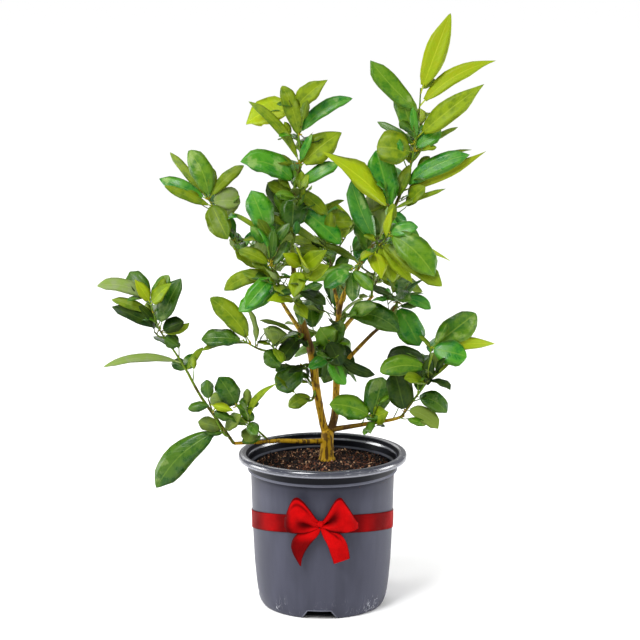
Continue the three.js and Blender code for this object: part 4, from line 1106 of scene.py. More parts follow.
@dataclass
class Growth:
    """The rule by which a mass's twigs and leaves grow from its limb, as in the source and then finer."""

    name: str
    roll: float = 24
    jitter: float = 9
    arch: float = 0.075
    faces_back: float = 0.5
    leans: tuple = (0, 14, -14, 28, -28, 42)
    light_front: Vector = field(default_factory=lambda: Vector((0, -0.6, 0.8)))
    light_back: Vector = field(default_factory=lambda: Vector((0, 0.5, 0.85)))
    stem_least: float = 1.7
    stem_share: float = 0.6
    twig_tip: float = 1.0
    spread: float = 1.05
    rise: float = 0.18
    bare: float = 0.4
    open: float = 0.95
    tip_open: float = 0.2
    thick: float = 1.5
    finer_step: float = 14
    finer_spread: float = 0.8
    finer_reach: tuple = (13, 26)
    finer_leaf: tuple = (20, 36)
    finer_twig: tuple = (0.9, 0.6, 1.0)
    near: float = 9
    lead: float = 0.2
    off_limbs: float = 1.0
    inner: dict = field(default_factory=lambda: {"l": "o", "s": "m", "b": "d"})

    def __post_init__(self) -> None:
        """Looks up the mass's plan, limb and solid, and starts its stem and its random numbers."""
        self.mass, self.index = MASSES[self.name], list(MASSES).index(self.name)
        self.dice, self.pick = Dice(self.index + 1), Dice(self.index + 301)
        self.limb = LINES[self.mass.limb]
        self.stem = Wood([tuple(self.limb.point(self.mass.at)), *self.mass.stem])
        self.solid = BVHTree.FromObject(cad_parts[self.name], bpy.context.evaluated_depsgraph_get())

    def leaf_towards(self, base: Vector, way: Vector, length: float, share: float, bend: float = 0.0) -> Leaf:
        """Draws a leaf's roll and arch, and picks the light that it turns to.

        Args:
            base: where the blade starts.
            way: the way it points.
            length: its length.
            share: its width as a share of its length.
            bend: how far it bends sideways.

        Returns:
            The leaf.
        """
        light = self.light_back if way.y > self.faces_back else self.light_front
        return Leaf(base, way, length, share, light, radians(self.dice.within(self.roll)), bend,
                    self.arch * (0.6 + 0.8 * self.dice.roll()))

    def leaf_from_row(self, row: tuple) -> Leaf:
        """Turns a row of the plan into a leaf on the stem.

        Args:
            row: the row.

        Returns:
            The leaf.
        """
        place, hour, length, width, lean, bend, roll = (*row, *(0, 0, None)[len(row) - 4:])
        turn = hour * pi / 6
        back = radians(lean + self.dice.within(self.jitter))
        way = Vector((sin(turn), tan(back), cos(turn))).normalized()
        leaf = self.leaf_towards(self.stem.point(place / 100), way, length, width / 100, bend / 100)
        leaf.roll = leaf.roll if roll is None else radians(roll)
        return leaf

    def shoot(self, stem: Wood, place: float, spread: float, turn: float, length: float, count: int,
              leaf_length: float) -> tuple[Wood, list[Leaf]]:
        """Grows one shoot.

        Args:
            stem: what it grows from.
            place: where on the stem.
            spread: the angle away from the stem.
            turn: the turn round the stem.
            length: its length.
            count: how many leaves it has.
            leaf_length: their middling length.

        Returns:
            Its wood and its leaves.
        """
        start, axis = stem.point(place), stem.heading(place)
        across = Matrix.Rotation(turn, 3, axis) @ (Vector((0, -1, 0)) + axis * axis.y).normalized()
        way = axis * cos(spread) + across * sin(spread)
        middle, tip = start + way * length * 0.5, start + way * length
        tip.z += length * self.rise
        twig = Wood([tuple(start), tuple(middle), tuple(tip)], 2)
        leaves = []
        for j in range(count):
            spot = self.bare + (1 - self.bare) * j / max(1, count - 1)
            ahead = twig.heading(spot)
            outward = (Vector((0, 0, 1)) - ahead * ahead.z).normalized()
            outward = Matrix.Rotation(pi / 2 + j * GOLDEN_ANGLE + self.dice.within(0.4), 3, ahead) @ outward
            opening = self.tip_open if j == count - 1 else self.open
            leaf_way = (ahead * cos(opening) + outward * sin(opening)).normalized()
            size = leaf_length * (0.75 + 0.45 * self.dice.roll())
            leaves.append(self.leaf_towards(twig.point(spot), leaf_way, size, 0.4 + 0.12 * self.dice.roll()))
        return twig, leaves

    def shoots(self) -> list[tuple[Wood, list[Leaf]]]:
        """Grows all the shoots of the mass.

        Returns:
            The wood and the leaves of each.
        """
        grown = []
        mass, planned = self.mass, bool(self.mass.leaves)
        for i in range(mass.shoots):
            place = (i + 0.8) / (mass.shoots + 0.6) if planned else (i + 1) / mass.shoots
            step, free = (pi, 0.5) if planned else (GOLDEN_ANGLE, 0.3)
            turn = i * step + self.dice.within(free)
            length = mass.reach * (1 - 0.3 * place) * (0.9 + 0.2 * self.dice.roll())
            spread = self.tip_open if not planned and i == mass.shoots - 1 else self.spread
            leaves = mass.leaf_count, mass.leaf_length
            grown.append(self.shoot(self.stem, place, spread, turn, length, *leaves))
        return grown

    @staticmethod
    def closes_opening(leaf: Leaf) -> bool:
        """Looks whether a leaf would stand in one of the openings when seen from the front.

        Args:
            leaf: the leaf.

        Returns:
            Whether it does.
        """
        for s in (0.4, 0.7, 1.0):
            at = leaf.base + leaf.way * (s * leaf.length)
            near = EYE_DISTANCE / (EYE_DISTANCE + at.y)
            x, z = at.x * near, EYE_HEIGHT + (at.z - EYE_HEIGHT) * near
            half = 0.4 * leaf.share * leaf.length if s < 1 else 0.0
            if any(hypot(x - ox, z - oz) < radius + half for ox, oz, radius in OPENINGS):
                return True
        return False

    @staticmethod
    def held(leaf: Leaf, solid: BVHTree, reach: float, shares: tuple[float, ...]) -> bool:
        """Says whether a leaf's middle line keeps within reach of a solid at some shares of its length."""
        return all(solid.find_nearest(leaf.centre(s) * MM)[3] < reach * MM for s in shares)

    def clears_limbs(self, leaf: Leaf) -> bool:
        """Measures a leaf's blade against the limbs.

        Args:
            leaf: the leaf.

        Returns:
            Whether it stays off every one.
        """
        side = leaf.way.cross(leaf.up) * (0.45 * leaf.share * leaf.length)
        spots = np.array([leaf.centre(s) + side * (v * sin(pi * s))
                          for s in (0.35, 0.48, 0.6, 0.72, 0.84, 0.95) for v in (-1.0, -0.5, 0.0, 0.5, 1.0)])
        away = np.linalg.norm(spots[:, None] - LIMB_POINTS[None, :, :3], axis=2)
        return float((away - LIMB_POINTS[None, :, 3]).min()) > self.off_limbs

    def pose(self, leaf: Leaf, planned: bool) -> Leaf | None:
        """Finds the lean at which the mass's solid holds a leaf.

        Args:
            leaf: the leaf.
            planned: whether it is a row of the plan, which is kept also where the solid left it out.

        Returns:
            The leaned leaf, or nothing where the solid skipped it.
        """
        tried = [leaf.leaned(radians(angle)) for angle in self.leans]
        held = [leaned for leaned in tried if self.held(leaned, self.solid, 1.3, (0.4, 0.74, 1.0))]
        if not planned:
            return held[0] if held else None
        best = [leaned for leaned in held[:1] + tried if self.clears_limbs(leaned)]
        return (best + held + tried)[0]

    def drawn(self, dice: Dice) -> str:
        """Draws one of the mass's colour letters."""
        return self.mass.tints[int(dice.roll() * len(self.mass.tints)) % len(self.mass.tints)]

    def finer(self, spray: Spray, woods: list[Wood], solids: BVHTree) -> None:
        """Carries the mass on to short side twigs with small leaves, where the solids have foliage.

        Args:
            spray: what the mass has grown so far.
            woods: the stems and shoots that side twigs grow from.
            solids: all the foliage solids.
        """
        self.dice = Dice(self.index + 601)
        count = 0
        for wood in woods:
            places = max(2, int(wood.route.length / self.finer_step))
            for i in range(places):
                place = (i + 0.7) / (places + 0.2)
                turn = count * GOLDEN_ANGLE + self.dice.within(0.5)
                length, size = [low + (high - low) * self.dice.roll()
                                for low, high in (self.finer_reach, self.finer_leaf)]
                twig, leaves = self.shoot(wood, place, self.finer_spread, turn, length, 3, size)
                kept = []
                for leaf in [leaf.leaned(0.0) for leaf in leaves]:
                    if self.held(leaf, solids, self.near, (0.5, 1.0)) and not self.closes_opening(leaf):
                        drawn = self.drawn(self.dice)
                        leaf.tint = self.inner.get(drawn, drawn)
                        kept.append(leaf)
                count += 1
                if kept:
                    spray.twigs.append((twig, *self.finer_twig))
                    spray.leaves += kept

    def grow(self, solids: BVHTree) -> Spray:
        """Grows the mass.

        Args:
            solids: all the foliage solids.

        Returns:
            What it has grown.
        """
        mass = self.mass
        share = 1.0 if mass.at == 1 else self.stem_share
        thick = max(self.stem_least, along(LIMBS[mass.limb].radii, mass.at) * share)
        spray = Spray(self.name, [(self.stem, thick, self.twig_tip, 0.75)])
        grown = self.shoots()
        spray.leaves += [self.pose(self.leaf_from_row(row), True) for row in mass.leaves]
        first = max(0.25, mass.at - self.lead)
        lead = [tuple(self.limb.point(first + (mass.at - first) * i / 4)) for i in range(5)]
        woods = [self.stem, Wood(lead)] if mass.at > first else [self.stem]
        for twig, leaves in grown:
            if self.solid.find_nearest(twig.point(0.9) * MM)[3] <= 2.5 * MM:
                woods.append(twig)
                spray.twigs.append((twig, self.thick, self.twig_tip, 0.9))
                spray.leaves += filter(None, [self.pose(leaf, False) for leaf in leaves])
        for order, leaf in enumerate(spray.leaves):
            drawn = self.drawn(self.pick)
            leaf.tint = mass.tints[order] if order < len(mass.leaves) else drawn
        self.finer(spray, woods, solids)
        return spray


def foliage_solids() -> BVHTree:
    """Joins the solids of all the masses.

    Returns:
        One search tree.
    """
    points, faces = [], []
    for name in MASSES:
        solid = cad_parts[name]
        start = len(points)
        points += [solid.matrix_world @ v.co for v in solid.data.vertices]
        faces += [[start + i for i in p.vertices] for p in solid.data.polygons]
    return BVHTree.FromPolygons(points, faces)


@dataclass
class Blade:
    """The mesh of one leaf: a petiole and a folded, arching, slightly wavy blade with two sides."""

    rows: int = 12
    columns: int = 4
    petiole: float = 0.1
    thickness: float = 0.45
    least: float = 0.55
    fold: float = 0.32
    camber: float = 0.16
    ripple: float = 0.13
    droop: float = 0.07
    scallop: float = 0.05
    fuller: float = 0.22
    wedge: float = 0.56
    young: tuple = ((0.66, 0.84), (0.28, 0.5), 0.6)
    older: tuple = ((0.42, 0.58), (0.3, 0.6), 0.82)

    def width(self, u: float, point: float, drip: float, pulled: float) -> float:
        """Gives the half outline of a blade, which starts as a wedge.

        Args:
            u: the share of the blade's length.
            point: how slowly it narrows to its tip.
            drip: how far its tip is pulled in.
            pulled: where that starts.

        Returns:
            The half width as a share of the greatest.
        """
        widest = self.wedge / (self.wedge + point)
        full = (u / widest) ** self.wedge * ((1 - u) / (1 - widest)) ** point
        return full * (1 - drip * smooth(u, pulled, 1.0))

    def add(self, skin: Skin, leaf: Leaf, chance: Chance, small: bool) -> None:
        """Adds a leaf to a mesh in the making.

        Args:
            skin: the mesh.
            leaf: the leaf.
            chance: the random numbers of its waves and twist.
            small: whether it is a small leaf of fewer faces.
        """
        rows, columns = (10, 2) if small else (self.rows, self.columns)
        young = leaf.tint in "ls"
        sharpness, drips, pulled = self.young if young else self.older
        point, drip = chance.uniform(*sharpness), chance.uniform(*drips)
        lopsided = chance.uniform(-0.1, 0.1)
        start = self.petiole * chance.uniform(0.8, 1.3)
        fold = self.fold * chance.uniform(0.5, 1.5)
        camber = self.camber * chance.uniform(0.3, 1.6)
        ripple = self.ripple * chance.uniform(0.2, 1.3)
        waves, phase = chance.uniform(1.2, 2.4), chance.uniform(0, tau)
        twist = radians(chance.uniform(-22, 22))
        droop = self.droop * chance.uniform(-0.4, 1.4)
        side0 = leaf.way.cross(leaf.up)
        half_most = leaf.share * leaf.length / 2 * (1 + (self.fuller * drip if young else 0.02))

        def middle(s: float) -> Vector:
            """Gives the drooping middle line's point."""
            return leaf.centre(s) - leaf.up * (droop * max(0.0, s - 0.3) ** 2 * leaf.length)

        points, uvs, top, under = [], [], [], []
        for i in range(rows):
            u = 0.25 * i / rows + 0.375 * (1 - cos(pi * i / rows))
            s = start + (1 - start) * u
            ahead = (middle(min(1.0, s + 0.02)) - middle(max(0.0, s - 0.02))).normalized()
            turn = Matrix.Rotation(twist * u, 3, ahead)
            side = turn @ (side0 - ahead * side0.dot(ahead)).normalized()
            up = side.cross(ahead)
            half = max(self.least, half_most * self.width(max(u, 0.02), point, drip, pulled))
            top_row, under_row = [], []
            for j in range(columns + 1):
                v = 2 * j / columns - 1
                turn_at = tau * waves * u + phase + (1.7 if v > 0 else 0.0)
                wave = ripple * sin(turn_at) * abs(v) ** 2
                raised = half * (fold * abs(v) - camber * v * v + wave * smooth(u, 0, 0.3))
                reach = 1 + (lopsided if v > 0 else -lopsided) + self.scallop * sin(1.2 * turn_at)
                at = middle(s) + side * (half * v * reach) + up * raised
                top_row.append(len(points))
                points.append(at)
                if 0 < j < columns:
                    points.append(at - up * self.thickness)
                under_row.append(len(points) - 1)
                uvs += [(u, 0.5 + 0.5 * v)] * (len(points) - len(uvs))
            top.append(top_row)
            under.append(under_row)
        tip = len(points)
        points.append(middle(1.0))
        uvs.append((1.0, 0.5))
        faces, slots = [], []
        face_slot = LETTERS.index(leaf.tint)
        back_slot = UNDER_DULL if leaf.tint in "dnv" else UNDER_PALE
        for i in range(rows):
            last = i == rows - 1
            for j in range(columns):
                a, b = top[i][j], top[i][j + 1]
                faces.append((a, b, tip) if last else (a, b, top[i + 1][j + 1], top[i + 1][j]))
                slots.append(face_slot)
                a, b = under[i][j], under[i][j + 1]
                faces.append((b, a, tip) if last else (a, under[i + 1][j], under[i + 1][j + 1], b))
                slots.append(back_slot)
        faces.append((*reversed(top[0]), *under[0][1:-1]))
        slots.append(back_slot)
        tone = float(np.clip(chance.normal(0, 0.45), -1, 1))
        skin.add([tuple(p) for p in points], faces, uvs, tone, slots)
        self._petiole(skin, leaf, middle, start, tone)

    @staticmethod
    def _petiole(skin: Skin, leaf: Leaf, middle: Callable[[float], Vector], end: float, tone: float) -> None:
        """Adds the short stalk between the twig and the blade.

        Args:
            skin: the mesh.
            leaf: the leaf.
            middle: gives the leaf's middle line at a share of its length.
            end: the share at which the blade starts.
            tone: how light or dark the leaf is.
        """
        side = leaf.way.cross(leaf.up)
        thick = 0.5 + 0.005 * leaf.length
        rings = ((0.0, thick * 1.25), (end * 0.5, thick), (end * 1.25, thick * 0.8))
        rows = [round_points(middle(s), side, leaf.up, radius, 4) for s, radius in rings]
        before = len(skin.uvs)
        skin.grid(rows, False, True, tone, LETTERS.index(leaf.tint))
        skin.uvs[before:] = [(0.02, 0.5)] * (len(skin.uvs) - before)


@dataclass
class Foliage:
    """All the leaves, joined by part of the crown."""

    sprays: list[Spray]
    regions: dict = field(default_factory=lambda: {
        "low_left": "low_left_outer low_left_rise low_left_inner left_mid left_low fork_left",
        "centre": "centre_low centre_left centre_front centre_right top_mid right_inner",
        "upper_left": "upper_left upper_left_inner top_left",
        "right": "top_right right_crest right_front right_outer low_right_inner low_right",
        "back": "back_left back_right back_top back_low",
    })
    small: float = 36

    def build(self) -> None:
        """Makes one piece for each part of the crown."""
        materials = [hue.value[1].make() for hue in Hue]
        blade = Blade()
        for region, masses in self.regions.items():
            names = ["leaves_" + mass for mass in masses.split()]
            skin = Skin()
            for order, spray in enumerate(self.sprays):
                if spray.name in names:
                    chance = Chance(order + 11)
                    for leaf in spray.leaves:
                        blade.add(skin, leaf, chance, leaf.length < self.small)
            settle(skin.make("foliage_" + region, materials), names)


@dataclass
class Twigs:
    """Every twig that is thinner than a bough, swept along its own line by a node tree."""

    sprays: list[Spray]
    sides: int = 6
    step: float = 4
    joint_gap: float = 19
    joint: float = 0.12

    def build(self) -> None:
        """Makes the twigs as one piece."""
        points, edges, girths, marks = [], [], [], []
        for wood, first, last, green in [twig for spray in self.sprays for twig in spray.twigs]:
            count = max(4, int(wood.route.length / self.step))
            start = len(points)
            for i, p in enumerate(wood.route.spaced(count)):
                share = i / count
                turn = tau * share * wood.route.length / self.joint_gap
                swell = self.joint * max(0.0, cos(turn)) ** 8
                points.append(tuple(c * MM for c in p))
                girths.append((first + (last - first) * share) * (1 + swell) * MM)
                marks.append(min(1.0, green + 0.3 * share))
            edges += [(start + i, start + i + 1) for i in range(count)]
        mesh = bpy.data.meshes.new("twig_lines")
        mesh.from_pydata(points, edges, [])
        for title, values in (("girth", girths), ("mark", marks)):
            mesh.attributes.new(title, "FLOAT", "POINT").data.foreach_set("value", values)
        tree = Grower("grow_twigs", {"Sides": self.sides})
        curve = tree.node("GeometryNodeMeshToCurve", {0: tree.given["Geometry"]})[0]
        sockets = {"Resolution": tree.given["Sides"], "Radius": 1.0}
        ring = tree.node("GeometryNodeCurvePrimitiveCircle", sockets)[0]
        girth = tree.node("GeometryNodeInputNamedAttribute", {"Name": "girth"}, data_type="FLOAT")[0]
        sockets = {"Curve": curve, "Profile Curve": ring, "Scale": girth, "Fill Caps": True}
        swept = tree.node("GeometryNodeCurveToMesh", sockets)[0]
        shaded = tree.node("GeometryNodeSetShadeSmooth", {"Geometry": swept})[0]
        bark = Bark("twig_bark", (124, 110, 16), (62, 50, 12), (84, 116, 20), (300.0, 300.0, 120.0))
        tree.end(shaded, bark.make())
        settle(tree.run(put("twig_lines", mesh), "twigs"), [])


@dataclass
class Buds:
    """Small buds in some of the leaf axils, olive yellow with brown among them."""

    sprays: list[Spray]
    share: float = 0.45
    least: float = 2.4
    most: float = 5.2
    girth: float = 0.36
    clustered: float = 0.3
    cluster: int = 4
    sides: int = 7
    skin: Skin = field(default_factory=Skin)
    outline: Pairs = ((-0.1, 0.5), (0.15, 0.9), (0.4, 1.0), (0.65, 0.8), (0.86, 0.45), (1.0, 0.12))

    def build(self) -> None:
        """Makes the buds as one piece."""
        for index, spray in enumerate(self.sprays):
            chance = Chance(index + 71)
            for leaf in spray.leaves[:len(MASSES[spray.name].leaves)]:
                if chance.uniform() > self.share:
                    continue
                cluster = chance.uniform() < self.clustered
                raised, longer = (1.1, 1.35) if cluster else (0.7, 1.0)
                for turn in range(self.cluster if cluster else 1):
                    spin = Matrix.Rotation(GOLDEN_ANGLE * turn, 3, leaf.way)
                    way = leaf.way * 0.5 + spin @ (leaf.up * raised) + Vector((0, 0, 0.5))
                    length = chance.uniform(self.least, self.most) * longer
                    self._bud(leaf.base, way.normalized(), length, chance)
        finish = Bark("bud_scales", (168, 158, 24), (112, 74, 16), (104, 136, 22), (700.0, 700.0, 260.0))
        settle(self.skin.make("buds", [finish.make()]), [])

    def _bud(self, base: Vector, way: Vector, length: float, chance: Chance) -> None:
        """Adds one bud on its own short foot.

        Args:
            base: where its leaf is rooted.
            way: where it points.
            length: its length.
            chance: the random numbers of its girth and colour.
        """
        thick = length * self.girth * chance.uniform(0.8, 1.2)
        side = way.orthogonal().normalized()
        other = way.cross(side)
        rows = [round_points(base + way * (length * place + 0.8), side, other, thick * width / 2, self.sides)
                for place, width in self.outline]
        self.skin.grid(rows, False, True, float(chance.uniform(-0.7, 1.0)))


@dataclass
class Limbs:
    """Trunk and boughs as one mesh with the bark's relief."""

    sides: int = 22
    step: float = 1.6
    ridge: float = 0.07
    knot_gap: float = 27
    knot: float = 0.13
    skin: Skin = field(default_factory=Skin)

    def build(self) -> None:
        """Makes the piece."""
        for index, (name, limb) in enumerate(LIMBS.items()):
            self._add(limb, LINES[name].route, index)
        bark = Bark("limb_bark", (160, 124, 8), (56, 32, 6), (84, 106, 16))
        settle(self.skin.make("limbs", [bark.make()]), list(LIMBS))

    def _add(self, limb: Limb, route: Route, index: int) -> None:
        """Adds one limb, with rounded ends that reach into its neighbours.

        Args:
            limb: its radii and its bark.
            route: its route.
            index: its number in the plan, which sets its grain and knots.
        """
        count = max(6, int(route.length / self.step))
        points = route.spaced(count)
        side = Vector((1, 0, 0))
        rows, marks = [], []
        for i, centre in enumerate(points):
            ahead = (points[min(i + 1, count)] - points[max(i - 1, 0)]).normalized()
            side = (side - ahead * side.dot(ahead)).normalized()
            other = ahead.cross(side)
            far = route.length * i / count
            radius = along(limb.radii, i / count)
            swell = max(0.0, cos(pi * (far / self.knot_gap + 0.37 * index))) ** 14
            turn_at = GOLDEN_ANGLE * int(far / self.knot_gap + 0.5) + index
            row = []
            for j in range(self.sides):
                turn = tau * j / self.sides
                spot = Vector((cos(turn) * 1.7, sin(turn) * 1.7, far * 0.045 + 9 * index))
                grain = fractal(spot, 0.8, 2.1, 4)
                knot = self.knot * swell * (0.4 + 0.6 * max(0.0, cos(turn - turn_at)) ** 2)
                r = radius * (1 + self.ridge * grain + knot)
                row.append(centre + (side * cos(turn) + other * sin(turn)) * r)
            rows.append(row)
            marks.append(along(limb.bark, i / count))
        rows.insert(0, self._end(points[0], points[0] - points[1], rows[0]))
        rows.append(self._end(points[-1], points[-1] - points[-2], rows[-1]))
        self.skin.grid(rows, False, True, [marks[0], *marks, marks[-1]])

    @staticmethod
    def _end(centre: Vector, ahead: Vector, row: list[Vector]) -> list[Vector]:
        """Gives a smaller ring beyond an end, so that the end is rounded."""
        radius = (row[0] - centre).length
        return [centre + (p - centre) * 0.6 + ahead.normalized() * radius * 0.45 for p in row]


# Container


OUTSIDE: Pairs = ((0, 80.5), (2.2, 83.6), (8, 86), (20, 89), (35, 91), (62, 93.5), (110, 95.8), (185.6, 98),
                  (187.4, 98.6), (188.4, 101), (189.6, 101.8), (203.5, 102.4))


def turned(profile: list[tuple[float, float]], sides: int) -> tuple[list, list]:
    """Turns a profile round the upright axis.

    Args:
        profile: (radius, height) pairs from the axis at the bottom outwards, up, in and back to the axis.
        sides: how many steps go round.

    Returns:
        Points and faces of a closed form.
    """
    points, faces, rings = [], [], []
    for r, z in profile:
        if r == 0:
            rings.append([len(points)] * sides)
            points.append((0.0, 0.0, z))
            continue
        rings.append(list(range(len(points), len(points) + sides)))
        points += [(r * sin(tau * i / sides), -r * cos(tau * i / sides), z)
                   for i in range(sides)]
    for low, high in zip(rings, rings[1:]):
        for i in range(sides):
            j = (i + 1) % sides
            face = [low[i], low[j], high[j], high[i]]
            faces.append(tuple(dict.fromkeys(face)))
    return points, faces


@dataclass
class Pot:
    """The nursery pot: a thrown wall with a rolled lip, four notches round its foot and a dark inside."""

    height: float = 212
    rim: float = 115
    sides: int = 144
    notches: int = 4
    notch_turn: float = -3
    notch_bottom: float = 48
    notch_top: float = 33
    notch_height: float = 12.5
    bead: float = 0.8
    crisp: float = radians(38)

    def build(self) -> None:
        """Makes the wall with its glossy lip and dark inside, and the notches' edges, paler as a painted
        highlight.
        """
        wall = PotWall("pot_outside", (61, 62, 74), (60, 62, 73), 0.4)
        lip = PotWall("pot_lip", (61, 62, 74), (48, 50, 61), 0.15, 0.9)
        piece = self._wall([wall.make(), PotInside("pot_inside").make(), lip.make()])
        settle(piece, ["pot"])
        beads = Skin()
        for turn in self._turns():
            beads.grid([[turn @ p for p in row] for row in self._bead()], False, True)
        # Painted highlight: the beads round the notches are paler than the wall.
        bead = PotWall("pot_bead_highlight", (96, 98, 110), (36, 38, 50), 0.36)
        settle(beads.make("notch_beads", [bead.make()], outward=True), [])

    def _turns(self) -> list[Matrix]:
        """Gives the turns that bring a notch from the front to its places round the foot."""
        angles = [self.notch_turn + 360 / self.notches * i for i in range(self.notches)]
        return [Matrix.Rotation(radians(angle), 3, "Z") for angle in angles]

    def _bead(self) -> list[list[Vector]]:
        """Sweeps the thin raised edge that frames a notch at the front.

        Returns:
            Rings of points along it.
        """
        low, high = self.notch_bottom / 2, self.notch_top / 2
        outline = [(-low, 0.9), (-(low + high) / 2, self.notch_height / 2), (-high, self.notch_height - 0.6),
                   (-high + 1.4, self.notch_height + 0.3), (0, self.notch_height + 0.4)]
        outline += [(-x, z) for x, z in reversed(outline[:-1])]
        rows = []
        for x, z in outline:
            centre = Vector((x, -sqrt(along(OUTSIDE, z) ** 2 - x * x) - 0.1, z))
            climb = 0.0 if abs(x) < high else copysign(2.4, -x)
            ahead = Vector((1, 0, climb)).normalized()
            inward = Vector((0, 1, 0))
            rows.append(round_points(centre, inward, ahead.cross(inward), self.bead, 8))
        return rows

    def profile(self) -> list[tuple[float, float]]:
        """Gives the wall's outline.

        Returns:
            (radius, height) pairs: outside up, over the lip and down the inside.
        """
        outside = [(0.0, 2.2), (70, 2.2), (76, 1.6), (79, 0.0), (80.8, 0.0), (82.4, 0.8), (83.4, 2.4),
                   (84.6, 4.6), (86, 8)]
        outside += [(along(OUTSIDE, z), z) for z in (14, 20, 27, 35, 48, 62, 80, 100, 125, 150, 172, 183)]
        shoulder = [(98.0, 185.6), (98.3, 186.6), (98.9, 187.2), (100.4, 187.5), (101.5, 187.9),
                    (102.2, 188.6), (102.3, 189.4), (101.7, 190.2), (101.4, 192), (101.6, 197), (101.8, 201),
                    (102.6, 205), (104.2, 207), (107, 208), (111.2, 207.6), (112.3, 206.2), (112.4, 204.4),
                    (113.0, 203.2), (114.0, 203.0), (114.8, 203.8), (self.rim, 205.4), (self.rim, 207.4),
                    (114.7, 209.2), (113.8, 210.8), (112.4, 211.7), (110.4, self.height), (108, self.height),
                    (106.2, 211.6), (104.6, 210.4), (103.4, 208.6), (102.2, 206.2)]
        inside = [(101.2, 203), (100.4, 200), (100, 197.4), (99.6, 196.2), (98.8, 195.6), (97, 195),
                  (96.4, 194.2), (96.2, 192), (96.1, 188), (95.7, 180), (94.4, 140), (93.4, 100), (91.6, 62),
                  (89, 35), (86.8, 18), (83, 8), (78, 4.4), (70, 4), (0.0, 4)]
        return outside + shoulder + inside

    def _wall(self, finishes: list[Material]) -> Piece:
        """Turns the wall, cuts the notches and splits the finishes.

        Args:
            finishes: outside, inside and lip.

        Returns:
            The wall.
        """
        skin = Skin()
        skin.add(*turned(self.profile(), self.sides))
        wall = skin.make("pot_wall", finishes)
        low, high = self.notch_bottom / 2, self.notch_top / 2
        outline = [(-low, -1), (low, -1), (high, self.notch_height), (-high, self.notch_height)]
        faces = [(0, 1, 2, 3), (7, 6, 5, 4), (1, 0, 4, 5), (2, 1, 5, 6), (3, 2, 6, 7), (0, 3, 7, 4)]
        cutters = Skin()
        for turn in self._turns():
            cutters.add([tuple(turn @ Vector((x, y, z))) for y in (-100, -72) for x, z in outline], faces)
        cutter = cutters.make("notch_cutters", finishes[:1], outward=True)
        cut = wall.modifiers.new("notches", "BOOLEAN")
        cut.operation, cut.object, cut.solver = "DIFFERENCE", cutter, "EXACT"
        piece = baked(wall, "pot_shell")
        bpy.data.objects.remove(cutter)
        self._finish(piece.data)
        return piece

    def _finish(self, mesh: bpy.types.Mesh) -> None:
        """Gives the inside and the notches the dark finish, and keeps hard edges crisp.

        Args:
            mesh: the wall's mesh, with outside, inside and lip as its finishes.
        """
        for face in mesh.polygons:
            c = face.center / MM
            radius = hypot(c.x, c.y)
            rim_side = c.z > 205 and radius < 105
            inside = radius < along(OUTSIDE, c.z) - 1.0 and c.z < 205.5
            face.material_index = 1 if rim_side or inside else 2 if c.z > 203 else 0
        work = bmesh.new()
        work.from_mesh(mesh)
        for edge in work.edges:
            if len(edge.link_faces) == 2:
                edge.smooth = edge.calc_face_angle(0.0) < self.crisp
        work.to_mesh(mesh)
        work.free()


@dataclass(frozen=True)
class Grain:
    """One kind of grain on the soil: how many per square metre, its radius in metres and its stretch."""

    name: str
    density: float
    size: float
    least: Triple
    most: Triple
    seed: int
    fibre: bool = False


GRAINS = (
    Grain("soil_chips", 52000.0, 0.0028, (0.4, 0.25, 0.15), (1.7, 0.8, 0.45), 5),
    Grain("soil_crumbs", 90000.0, 0.0011, (0.6, 0.5, 0.5), (1.4, 1.2, 1.0), 8),
    Grain("soil_fibres", 34000.0, 0.0004, (0.6, 0.6, 9.0), (1.1, 1.1, 24.0), 21, True),
)


